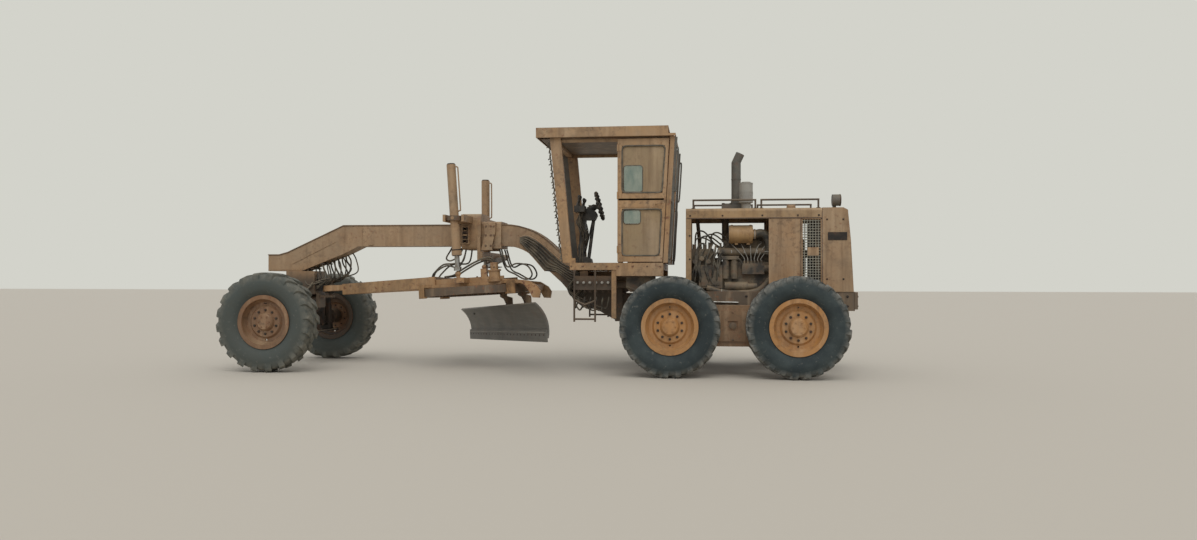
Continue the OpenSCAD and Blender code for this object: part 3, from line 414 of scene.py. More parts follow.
def tube(run, r, n=8, curved=True):
    """A round bar, pipe or hose along its run."""
    line = smooth_line(run) if curved else [Vector(p) for p in run]
    points = []
    side = (line[1] - line[0]).orthogonal().normalized()
    for i, p in enumerate(line):
        ahead = (line[min(i + 1, len(line) - 1)] - line[max(i - 1, 0)]).normalized()
        side = (side - ahead * side.dot(ahead)).normalized()
        up = ahead.cross(side)
        points += [p + (side * cos(a) + up * sin(a)) * r for a in turns(n)]
    return points, skin(len(line), n)


def slab(outline, y0, y1, edge=0.003):
    """An (x, z) outline pushed out along Y, with its rims taken off."""
    n = len(outline)
    cx = sum(p[0] for p in outline) / n
    cz = sum(p[1] for p in outline) / n

    def inset(p, by):
        d = hypot(p[0] - cx, p[1] - cz) or 1
        return p[0] + (cx - p[0]) / d * by, p[1] + (cz - p[1]) / d * by
    edge = min(edge, abs(y1 - y0) / 3)
    step = edge if y1 > y0 else -edge
    points = []
    for y, by in ((y0, edge), (y0 + step, 0), (y1 - step, 0), (y1, edge)):
        points += [(x, y, z) for x, z in (inset(p, by) for p in outline)]
    return points, skin(4, n)


def straight(run, r, n=6):
    """A bar with corners where its run turns."""
    return tube(run, r, n, False)


def around(at, r, n, first=0.0, up=UP):
    """n places on a circle about a point, level or square to the given line."""
    x, y = (0, 1) if up == UP else (1, 2) if up[0] else (0, 2)
    places = []
    for a in turns(n, first):
        p = list(at)
        p[x] += r * cos(a)
        p[y] += r * sin(a)
        places.append(tuple(p))
    return places


def bolts(places, along, across=0.024, high=0.012):
    """Hexagon heads on washers at the given places."""
    parts = []
    r = across / 2
    head = [(0.002, r * 1.15), (high * 0.75, r * 1.15), (high, r * 0.9)]
    for p in places:
        parts += [lathe([(0, r * 1.35), (0.0025, r * 1.35)], p, along, 14),
                  lathe(head, p, along, 6)]
    return parts


def mirrored(parts):
    """The same shapes on the other side of the machine."""
    return [([(p[0], -p[1], p[2]) for p in pts], faces) for pts, faces in parts]


def both(parts):
    return parts + mirrored(parts)


def placed(parts, matrix):
    return [([matrix @ Vector(p) for p in pts], faces) for pts, faces in parts]


def piece(name, parts, body, finish, replaces=(), crease=38):
    """Joins shapes into one named piece on a body of the machine."""
    verts, faces = [], []
    for pts, shell in parts:
        n = len(verts)
        verts += [(p[0] - CENTRE_X, p[1] - CENTRE_Y, p[2]) for p in pts]
        faces += [[i + n for i in face] for face in shell]
    mesh = bpy.data.meshes.new(name)
    mesh.from_pydata(verts, [], faces)
    work = bmesh.new()
    work.from_mesh(mesh)
    bmesh.ops.recalc_face_normals(work, faces=work.faces)
    work.to_mesh(mesh)
    work.free()
    mesh.shade_smooth()
    mesh.set_sharp_from_angle(angle=radians(crease))
    mesh.materials.append(finish)
    obj = bpy.data.objects.new(name, mesh)
    bpy.context.scene.collection.objects.link(obj)
    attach(obj, body)
    if replaces:
        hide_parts(*replaces)
    return obj


# Wheels
def carcass_line():
    """Tyre section from bead to crown: (distance from the middle, height share)."""
    shares = [(0.57, 0.0), (0.61, 0.05), (0.66, 0.15), (0.9, 0.32), (1.0, 0.54), (0.97, 0.74),
              (0.86, 0.9), (0.72, 0.97), (0.35, 0.995), (0.0, 1.0)]
    return [(p.x, p.y) for p in smooth_line([(a, b, 0) for a, b in shares], 4)]


def tyre(end, side, radius, station, lugs, skew, wear, seed):
    """A bias-ply tyre: walls with moulded ribs, and lugs from shoulder to middle."""
    rng = random.Random(seed)
    sign = dict(SIDES)[side]
    foot = radius - LUG_H
    line = carcass_line()

    def rise(y):
        """Radius of the carcass at a distance y from the middle."""
        share = abs(y) / TYRE_HALF
        above = [p for p in line if p[1] > 0.6]
        best = min(above, key=lambda p: abs(p[0] - share))
        return BEAD_R + best[1] * (foot - BEAD_R)

    ribs = []
    for a, b in line:
        rib = 0.003 if 0.06 < b < 0.1 or 0.6 < b < 0.64 else 0
        ribs.append((a * TYRE_HALF + rib, BEAD_R + b * (foot - BEAD_R)))
    outline = ([(-y, r) for y, r in ribs] + [(y, r) for y, r in reversed(ribs[:-1])]
               + [(BEAD_HALF, BEAD_R), (-BEAD_HALF, BEAD_R)])
    at = (station, sign * TRACK, radius)
    parts = [lathe(outline, at, (0, 1, 0), 96, closed=True)]
    pitch = 2 * pi / lugs
    stops = (0.006, 0.045, 0.085, 0.12, 0.146, 0.16, 0.168)
    for i in range(lugs):
        for s in (-1, 1):
            start = (i + (0.5 if s > 0 else 0)) * pitch
            worn = LUG_H * (1 - wear * rng.uniform(0.2, 1.0))
            wide = pitch * 0.5 * rng.uniform(0.9, 1.08)
            pts = []
            for y in stops:
                turn = start + sign * s * skew * (y / TYRE_HALF)
                base = rise(min(y, 0.16)) - 0.012
                top = (foot + worn if y < 0.14 else
                       foot + worn - (y - 0.14) * (0.55 + 0.5 * rng.random()))
                if y == stops[-1]:
                    base, top = base - 0.03, foot - 0.022
                for turn_by, high in ((-wide / 2, base), (-wide / 2 * 0.84, top),
                                      (wide / 2 * 0.84, top), (wide / 2, base)):
                    a = turn + turn_by
                    pts.append((station + high * cos(a), sign * TRACK + s * y,
                                radius + high * sin(a)))
            parts.append((pts, skin(len(stops), 4)))
    return piece(f"{end}_{side}_tyre_carcass", parts, f"wheel_{end}_{side}", TYRES[end],
                 (f"tyre_{end}_{side}",), 32)


def rim_fittings(end, side, radius, station):
    """Lock ring, nuts, hub cap bolts and the valve of one wheel."""
    sign = dict(SIDES)[side]
    out = (0, sign, 0)
    face = TRACK + 0.13

    def circle(r, n, depth, first=0.0):
        return around((station, sign * (face - depth), radius), r, n, first, out)

    rings = []
    for r, depth, thick in ((0.337, 0.006, 0.006), (0.3, 0.03, 0.005)):
        line = circle(r, 64, depth)
        rings.append(straight(line + line[:1], thick))
    hub = bolts(circle(0.07, 6, 0.018), out, 0.018, 0.01)
    nuts = bolts(circle(0.152, 10, 0.067, radians(18)), out, 0.03, 0.018)
    valve = tube([(station, sign * (face - depth), radius + r)
                  for depth, r in ((0.09, 0.236), (0.05, 0.236), (0.025, 0.246))], 0.006)
    finish = FRONT_RIMS[side] if end == "front" else DRIVE_RIM
    piece(f"{end}_{side}_lock_ring", rings + hub, f"wheel_{end}_{side}", finish)
    piece(f"{end}_{side}_wheel_nuts", [*nuts, valve], f"wheel_{end}_{side}", GREASY)


def fit_wheels():
    ends = (("front", FRONT_R, 0.0, 20, 0.16, 0.35), ("mid", REAR_R, MID_X, 24, 0.2, 0.75),
            ("rear", REAR_R, REAR_X, 24, 0.2, 0.75))
    for i, (end, radius, station, lugs, skew, wear) in enumerate(ends):
        for j, (side, _) in enumerate(SIDES):
            tyre(end, side, radius, station, lugs, skew, wear, 10 * i + j)
            rim_fittings(end, side, radius, station)


# Nodes that stay in sight
def finish_nodes():
    """Gives every node of the frame its real finish."""
    by_finish = {
        ENAMEL: ["tail_cowl", "side_panels", "lift_saddle", *pair("lift_barrel")],
        BEAM_ENAMEL: ["main_frame"],
        HOOD_ENAMEL: ["hood"],
        BAR_ENAMEL: ["drawbar"],
        CASE_ENAMEL: ["tandem_cases"],
        CAB_ENAMEL: ["cab_frame", "cab_roof", "cab_floor", *pair("door")],
        STEP_ENAMEL: ["steps"],
        FRAME_ENAMEL: ["rear_frame", "blade_circle", "centre_barrel", *pair("bend_barrel"),
                       *pair("lift_gimbal")],
        CLEAN_ENAMEL: ["air_cleaner"],
        GREASY: ["axle_housing", "front_axle", "lean_bar", "tie_rod", "drawbar_ball",
                 "shift_barrel", *pair("lean_arm"), *pair("knuckle")],
        IRON: ["engine"],
        RUSTY: ["exhaust_stack", "rear_lamp"],
        ZINC: ["precleaner"],
        WIRE: ["side_grilles"],
        BLADE: ["blade"],
        CHROME: ["shift_rod", "centre_rod", *pair("lift_rod"), *pair("bend_rod")],
        BLACK_ABS: ["console", "steering_wheel"],
        VINYL: ["seat"],
        FRONT_RIMS["left"]: ["rim_front_left"],
        FRONT_RIMS["right"]: ["rim_front_right"],
        DRIVE_RIM: [*pair("rim_mid"), *pair("rim_rear")],
    }
    for end, finish in TYRES.items():
        by_finish[finish] = pair(f"tyre_{end}")
    for finish, names in by_finish.items():
        for name in names:
            mesh = NODES[name].data
            mesh.materials.clear()
            mesh.materials.append(finish)


# Front frame
def dress_beam():
    """Weld beads, seams and the hose pocket of the long front beam."""
    arc = [(NECK_X + NECK_R * sin(radians(a)), NECK_Z + NECK_R * cos(radians(a)))
           for a in range(0, NECK_DEG + 1, 6)]
    end = 3.8
    end_z = arc[-1][1] - (end - arc[-1][0]) * tan(radians(NECK_DEG))
    before_saddle = [(-0.452, 1.53), (-0.29, 1.53), (-0.165, 1.565), (0.637, BEAM_TOP),
                     (2.33, BEAM_TOP)]
    edges = []
    for y in (-BEAM_HALF - 0.004, BEAM_HALF + 0.004):
        for line in (before_saddle, [(2.874, BEAM_TOP), *arc, (end, end_z)]):
            edges += [straight([(a[0], y, a[1] - 0.004), (b[0], y, b[1] - 0.004)], 0.008)
                      for a, b in zip(line, line[1:])]
    piece("beam_edge_welds", edges, FRONT, FRAME_ENAMEL)
    seams = []
    for s in (-1, 1):
        y = s * (BEAM_HALF + 0.001)
        seams += [straight([(x0, y, z0), (x1, y, z1)], r) for x0, z0, x1, z1, r in (
            (0.905, BEAM_LOW + 0.004, 0.905, BEAM_TOP - 0.01, 0.0045),
            (-0.1, 1.4, 0.52, 1.7, 0.006), (-0.44, 1.32, 0.02, 1.32, 0.005))]
        seams.append(slab([(1.0, 1.655), (1.06, 1.655), (1.06, 1.672), (1.0, 1.672)],
                          y, y + s * 0.012))
    piece("beam_side_seams", seams, FRONT, ENAMEL)
    top = [(3.124, 1.758), (3.2, 1.775), (3.301, 1.74), (3.4, 1.675), (3.51, 1.582),
           (3.6, 1.505), (3.692, 1.416)]
    low = [(3.124, 1.687), (3.18, 1.615), (3.25, 1.535), (3.302, 1.48), (3.38, 1.39),
           (3.459, 1.301), (3.6, 1.29), (3.692, 1.276)]
    piece("hose_pocket_floor", both([slab(top + low[::-1], -0.152, -0.158)]), FRONT, IRON)
    rim = [tube([(x, -0.16, z) for x, z in top], 0.011),
           tube([(x, -0.16, z) for x, z in low[:6]], 0.008)]
    piece("hose_pocket_lip", both(rim), FRONT, ENAMEL)
    hoses = []
    for i in range(6):
        t = (i + 0.5) / 6
        run = [(a[0] + (b[0] - a[0]) * t, -0.17 - 0.006 * (i % 2), a[1] + (b[1] - a[1]) * t)
               for a, b in zip(top, low)]
        run[0] = (run[0][0] - 0.01, -0.156, run[0][2])
        run += [(3.8, -0.185, 1.345 - 0.035 * i), (3.93, -0.2, 1.27 - 0.02 * i)]
        hoses.append(tube(run, 0.011))
    piece("neck_hose_bundle", both(hoses), FRONT, HOSE)


def dress_nose():
    """Steering and lean hoses hanging in loops under the sloped beam."""
    def beam_low(x):
        """Height of the sloped beam's underside at a station."""
        return 1.315 + 0.39 * (x - 0.03)

    rng = random.Random(4)
    hoses = []
    for i in range(12):
        y = -0.13 + 0.024 * i
        x = 0.06 + 0.045 * i
        z = beam_low(x)
        drop = rng.uniform(0.05, 0.16)
        hoses.append(tube([
            (x, y, z), (x + 0.02, y - 0.02, z - 0.05 - drop * 0.4),
            (x + 0.07 + rng.uniform(0, 0.05), y - 0.04, z - 0.14 - drop),
            (0.32 + rng.uniform(-0.03, 0.1), y - 0.03, 1.14 + rng.uniform(0, 0.07)),
            (0.235, y * 0.9, 1.05 + 0.012 * i)], 0.009 + 0.002 * (i % 3)))
    for i in range(7):
        x = 0.3 + 0.06 * i
        z = beam_low(x)
        hoses.append(tube([
            (x, -0.12 + 0.04 * i, z), (x + 0.06, -0.14 + 0.04 * i, z - 0.1),
            (x + 0.05 + rng.uniform(-0.03, 0.05), -0.12 + 0.03 * i, z - 0.26),
            (x - 0.06, -0.08 + 0.03 * i, z - 0.33),
            (0.3, -0.09 + 0.03 * i, 1.16)], 0.009 + 0.002 * (i % 2)))
    for i in range(4):
        y = -0.155 + 0.03 * i
        hoses.append(tube([(0.1, y, 1.0), (0.2, y - 0.05, 1.1 + 0.02 * i),
                           (0.17, y - 0.12 - 0.04 * i, 1.02),
                           (0.11, y - 0.15 - 0.05 * i, 0.905)], 0.01))
    piece("nose_hoses", hoses, FRONT, HOSE)
    clamps = [block((0.3, -0.15, 1.395), (0.36, 0.15, 1.412)),
              block((0.13, -0.13, 1.325), (0.2, 0.13, 1.345)),
              block((0.225, -0.14, 1.03), (0.245, 0.14, 1.2))]
    piece("hose_clamp_bars", clamps, FRONT, GREASY)


# Cab
def rounded_outline(x0, x1, z0, z1, r, lean=0.0, n=5):
    """A rounded rectangle whose rear side leans back by lean at its top."""
    pts = []
    for cx, cz, a0 in ((x1 - r, z0 + r, -90), (x1 - r, z1 - r, 0), (x0 + r, z1 - r, 90),
                       (x0 + r, z0 + r, 180)):
        for k in range(n + 1):
            a = radians(a0 + 90 * k / n)
            x, z = cx + r * cos(a), cz + r * sin(a)
            share = (z - z0) / (z1 - z0)
            pts.append((x + (lean * share if cx > (x0 + x1) / 2 else 0), z))
    return pts


def dress_door(side, s):
    """Seals, cover panels, panes, hinges and handle of one door."""
    body = f"door_{side}"
    face = s * CAB_HALF
    strip_t = 0.004

    def rim(line, depth, r, n):
        """A bead round a pane or a panel."""
        return straight([(x, face - s * depth, z) for x, z in line + line[:1]], r, n)

    def strip(x0, z0, x1, z1):
        """A flat strip on the outside of the door."""
        y0, y1 = sorted((face, face + s * strip_t))
        return block((x0, y0, z0), (x1, y1, z1), 0.001)

    seals, covers, panes, pane_seals = [], [], [], []
    for x0, x1, z0, z1, lean in ((4.543, 5.045, 2.28, 2.87, 0.04),
                                 (4.543, 5.01, 1.49, 2.072, 0.03)):
        seals.append(rim(rounded_outline(x0, x1, z0, z1, 0.05, lean), 0.002, 0.01, 8))
        inner = rounded_outline(x0 + 0.004, x1 - 0.004, z0 + 0.004, z1 - 0.004, 0.05, lean)
        covers.append(slab(inner, face - s * 0.024, face - s * 0.014))
    for box in ((4.562, 4.8, 2.29, 2.622), (4.562, 4.775, 1.888, 2.062)):
        line = rounded_outline(*box, 0.035)
        panes.append(slab(line, face - s * 0.013, face - s * 0.008, 0.001))
        pane_seals.append(rim(line, 0.01, 0.006, 6))
    piece(f"door_{side}_seals", seals, body, SEAL)
    piece(f"door_{side}_covers", covers, body, PANEL_ENAMEL)
    piece(f"door_{side}_panes", panes, body, GLASS)
    piece(f"door_{side}_pane_seals", pane_seals, body, SEAL)
    ledge = (face + strip_t, face) if s < 0 else (face, face + strip_t)
    parts = [block((4.5, ledge[0], 2.185), (5.065, ledge[1], 2.205), 0.001),
             strip(4.5, 2.095, 5.055, 2.112),
             tube([(4.97, face, 2.13), (4.97, face + s * 0.03, 2.135),
                   (5.03, face + s * 0.032, 2.14), (5.04, face, 2.145)], 0.007)]
    for z in (1.52, 2.2, 2.8):
        parts += [lathe([(0, 0.011), (0.09, 0.011)], (4.488, face + s * strip_t, z), UP, 12),
                  strip(4.492, z + 0.005, 4.54, z + 0.085)]
    parts += bolts([(x, face + s * 0.001, z) for x in (4.515, 5.035)
                    for z in (1.46, 1.75, 2.14, 2.55, 2.9)], (0, s, 0), 0.01, 0.005)
    piece(f"door_{side}_hardware", parts, body, CAB_ENAMEL)


def dress_cab():
    """Roof lining, torn post seals, grab bars, sill bolts and the plate under the floor."""
    roof = [block((3.455, -0.792, EAVE_Z - 0.002), (5.2, -0.78, EAVE_Z + 0.016)),
            block((3.455, 0.78, EAVE_Z - 0.002), (5.2, 0.792, EAVE_Z + 0.016)),
            block((3.5, -0.74, EAVE_Z - 0.016), (5.12, 0.74, EAVE_Z - 0.004))]
    piece("roof_lining", roof, FRONT, FRAME_ENAMEL)
    rng = random.Random(7)
    seal, folds, sill = [], [], []
    for s in (-1, 1):
        line = []
        for k in range(41):
            t = k / 40
            x = 3.782 - 0.17 * t - 0.01 * (k % 2) - 0.008 * rng.random()
            x -= 0.112 if s > 0 else 0
            z = FLOOR_Z + 0.03 + 1.5 * t
            line.append((x, s * (CAB_HALF - 0.012 - 0.03 * rng.random()), z))
            y = s * (CAB_HALF - 0.01 - 0.035 * rng.random())
            torn = rng.uniform(0.018, 0.045)
            shred = [(x + 0.01, z + 0.008), (x - torn * 0.7, z - torn * 0.5),
                     (x - torn * 0.6, z - torn * 0.5 - 0.012), (x + 0.01, z - 0.012)]
            seal.append(slab(shred, y, y - s * 0.006, 0.001))
        seal.append(straight(line, 0.01, 7))
        folds.append(slab([(5.118, FLOOR_Z), (5.15, FLOOR_Z), (5.238, EAVE_Z - 0.01),
                           (5.206, EAVE_Z - 0.01)], s * (CAB_HALF - 0.02),
                          s * (CAB_HALF - 0.008)))
        sill += bolts([(x, s * CAB_HALF, 1.355)
                       for x in (3.9, 4.05, 4.2, 4.35, 4.5, 4.68, 4.86, 5.02)],
                      (0, s, 0), 0.016, 0.008)
    piece("front_post_seals", seal, FRONT, SEAL)
    # A plate on the far front post, dark grey to stand in for painted shade on that post's inner
    # face.
    flange = [(3.668, FLOOR_Z + 0.004), (3.8, FLOOR_Z + 0.004), (3.632, EAVE_Z - 0.004),
              (3.512, EAVE_Z - 0.004), (3.548, 2.6), (3.556, 2.52), (3.584, 2.2),
              (3.59, 2.16), (3.632, 1.74)]
    piece("windscreen_flange_in_painted_shade", [slab(flange, CAB_HALF - 0.052, CAB_HALF - 0.046)], FRONT, RUSTY)
    bars = [tube([(5.19, -0.735, 2.3), (5.215, -0.76, 2.32), (5.235, -0.762, 2.6),
                  (5.245, -0.76, 2.82), (5.225, -0.735, 2.84)], 0.012),
            tube([(5.125, -0.735, 1.46), (5.15, -0.765, 1.48), (5.17, -0.766, 1.85),
                  (5.185, -0.764, 2.14), (5.16, -0.735, 2.16)], 0.012)]
    piece("rear_grab_bars", both(bars), FRONT, RUSTY)
    piece("rear_post_folds", folds, FRONT, RUSTY)
    skirt = [slab([(4.585, 1.3), (4.96, 1.3), (4.96, 1.12), (4.9, 1.045),
                   (4.64, 1.03), (4.585, 1.09)], -0.634, -0.626),
             block((4.6, -0.64, 1.268), (4.95, -0.6, 1.296)),
             tube([(4.6, -0.64, 1.1), (4.7, -0.644, 1.06), (4.82, -0.642, 1.075),
                   (4.93, -0.64, 1.13)], 0.011)]
    piece("floor_skirt", skirt, FRONT, IRON)
    piece("sill_bolts", sill, FRONT, FRAME_ENAMEL)


def dress_controls():
    """Notched steering wheel, lever knobs, cables and gauges at the pedestal."""
    hub = Vector((4.169, 0, 2.18))
    tilt = Matrix.Translation(hub) @ Matrix.Rotation(radians(75), 4, "Y")
    pts = []
    for k, a in enumerate(turns(72)):
        grip = 0.0235 if k % 4 < 2 else 0.0125
        for b in turns(8):
            r = 0.18 + grip * cos(b)
            pts.append((r * cos(a), r * sin(a), grip * sin(b)))
    wheel = [(pts, skin(72, 8, closed=True)),
             lathe([(-0.06, 0.034), (0.004, 0.034), (0.012, 0.026)], (0, 0, 0), UP, 24)]
    for a in turns(3, pi / 2):
        c, s = cos(a), sin(a)
        wheel.append(tube([(0.02 * c, 0.02 * s, -0.004), (0.09 * c, 0.09 * s, -0.006),
                           (0.176 * c, 0.176 * s, 0)], 0.009))
    piece("notched_steering_wheel", placed(wheel, tilt), FRONT, BLACK_ABS,
          ("steering_wheel",))
    knobs = []
    tip = Vector((sin(radians(12)), 0, cos(radians(12))))
    for s in (-1, 1):
        for i in range(5):
            foot = Vector((3.905, s * (0.15 + 0.04 * i), 2.15))
            knobs += [lathe([(-0.014, 0.0095), (0.0, 0.016), (0.022, 0.019), (0.036, 0.012),
                             (0.04, 0.002)], foot + tip * 0.118, tip, 14),
                      lathe([(0.006, 0.017), (0.02, 0.013), (0.036, 0.015), (0.05, 0.01)],
                            foot, tip, 12)]
    piece("lever_knobs", knobs, FRONT, BLACK_ABS)
    rng = random.Random(11)
    cables = []
    for i in range(10):
        y = -0.16 + 0.035 * i
        x = 3.885 + 0.012 * (i % 3)
        cables.append(tube([
            (x + 0.05, y, 2.085), (x + rng.uniform(-0.02, 0.04), y * 1.15, 1.95),
            (x + rng.uniform(0.0, 0.12), y * 0.9 + rng.uniform(-0.03, 0.03), 1.78),
            (x + rng.uniform(0.0, 0.1), y * 0.7, 1.62),
            (x + 0.03 + 0.02 * (i % 4), y * 0.6, FLOOR_Z)], 0.008 + 0.002 * (i % 2)))
    for s in (-1, 1):
        for i in range(4):
            y = s * (0.15 + 0.045 * i)
            cables.append(tube([(3.94, y, 2.085), (3.935, y, 2.02),
                                (3.95 + rng.uniform(0, 0.05), y * 0.75, 1.9 - 0.03 * i),
                                (3.955, s * 0.055, 1.74)], 0.007, 6))
    piece("pedestal_cables", cables, FRONT, HOSE)
    face = (0.843, 0, 0.539)
    gauges = [lathe([(-0.01, 0.027), (0.006, 0.027), (0.008, 0.022)], (4.119, y, 2.086), face, 20)
              for y in (-0.04, 0.036)]
    gauges += [lathe([(-0.008, 0.013), (0.01, 0.011)], (4.134, -0.002, 2.062), face, 14),
               lathe([(0.055, 0.036), (0.075, 0.046), (0.1, 0.04), (0.14, 0.052)], hub,
                     (-0.966, 0, -0.259), 20)]
    piece("pedestal_gauges", gauges, FRONT, BLACK_ABS)


def cushion(low, high, crown):
    """A stuffed pad with a crowned top and pulled-in sides, from its box."""
    low, high = Vector(low), Vector(high)
    size = high - low
    work = bmesh.new()
    bmesh.ops.create_cube(work, size=1.0)
    bmesh.ops.subdivide_edges(work, edges=work.edges, cuts=10, use_grid_fill=True)
    for v in work.verts:
        u = v.co * 2
        swell = (1 - u.x ** 4) * (1 - u.y ** 4)
        pull = 1 - 0.04 * abs(u.z) ** 3
        v.co.x = 0.5 * u.x * pull * (1 - 0.03 * abs(u.y) ** 6)
        v.co.y = 0.5 * u.y * pull * (1 - 0.03 * abs(u.x) ** 6)
        channel = 1 - 0.35 * max(0.0, 1 - abs(abs(u.y) - 0.36) / 0.08)
        if u.z > 0.9:
            v.co.z = 0.5 - crown / size.z * (1 - swell * channel)
    work.verts.index_update()
    points = [(low + high) / 2 + v.co * size for v in work.verts]
    faces = [[v.index for v in face.verts] for face in work.faces]
    work.free()
    return points, faces


def dress_seat():
    """Seat pad and back rest with their pedestal."""
    lean = (Matrix.Translation((4.88, 0, 1.835)) @ Matrix.Rotation(radians(8), 4, "Y")
            @ Matrix.Translation((0.089, 0, 0.005)) @ Matrix.Rotation(radians(-90), 4, "Y"))
    pad = [cushion((4.482, -0.248, 1.722), (4.88, 0.248, 1.838), 0.03)]
    back = placed([cushion((0.0, -0.238, 0.0), (0.55, 0.238, 0.088), 0.03)], lean)
    piece("seat_pad", pad, FRONT, VINYL, ("seat",), 60)
    piece("seat_back_pad", back, FRONT, VINYL, (), 60)
    base = [block((4.62, -0.19, FLOOR_Z), (4.85, 0.19, 1.46)),
            block((4.6, -0.15, 1.46), (4.86, 0.15, 1.66), 0.02),
            block((4.55, -0.2, 1.66), (4.94, 0.2, 1.722), 0.01)]
    base += [tube([(4.75, s * 0.215, 1.69), (4.9, s * 0.235, 1.72), (4.945, s * 0.22, 1.86),
                   (4.965, s * 0.2, 2.0)], 0.014) for s in (-1, 1)]
    piece("seat_pedestal", base, FRONT, GREASY)


# Engine end
def dress_hood():
    """Seams, bolts, filler cap, side plates and the feet of the hand rails."""
    side = -HOOD_HALF
    seams = [block((5.345, side - 0.004, BAY_Z - 0.004), (7.04, side + 0.004, BAY_Z + 0.01),
                   0.001),
             block((6.772, side - 0.003, 1.1), (6.786, side + 0.012, BAY_Z), 0.001),
             block((7.036, side - 0.003, 1.1), (7.05, side + 0.008, HOOD_Z - 0.05), 0.001)]
    piece("hood_seams", both(seams), REAR, FRAME_ENAMEL)
    heads = [(x, BAY_Z + 0.035) for x in (5.39, 5.8, 6.3, 6.74, 7.0)]
    heads += [(5.385, z) for z in (1.15, 1.45, 1.75)]
    heads += [(x, z) for x in (7.1, 7.3) for z in (1.2, 1.95)]
    piece("hood_bolts", both(bolts([(x, side - 0.001, z) for x, z in heads], NEAR, 0.018,
                                   0.008)), REAR, GREASY)
    cap = [lathe([(0, 0.075), (0.012, 0.075), (0.018, 0.062), (0.03, 0.06), (0.058, 0.056),
                  (0.064, 0.04)], (6.69, -0.1, HOOD_Z - 0.004), UP, 24),
           block((6.635, -0.108, HOOD_Z + 0.055), (6.745, -0.092, HOOD_Z + 0.068))]
    piece("filler_cap", cap, REAR, ENAMEL)
    feet = [lathe([(0, 0.028), (0.006, 0.028), (0.01, 0.016)], (x, s * 0.4, HOOD_Z - 0.002),
                  UP, 16) for s in (-1, 1) for x in (5.43, 6.215, 6.29, 7.0)]
    piece("rail_feet", feet, REAR, GREASY)
    plate = block((7.11, side - 0.006, 1.688), (7.345, side - 0.001, 1.79), 0.002)
    piece("blank_side_plates", both([plate]), REAR, GREASY)
    patch = block((6.86, side + 0.002, 1.495), (7.0, side + 0.007, 1.6), 0.002)
    piece("grille_patch", both([patch]), REAR, ENAMEL)
    bars = [block((x0, side + 0.004, z0), (x1, side + 0.018, BAY_Z)) for x0, x1, z0 in (
        (6.781, 6.8, 1.05), (7.022, 7.04, 1.05), (6.781, 7.04, BAY_Z - 0.02))]
    piece("grille_frames", both(bars), REAR, ENAMEL)


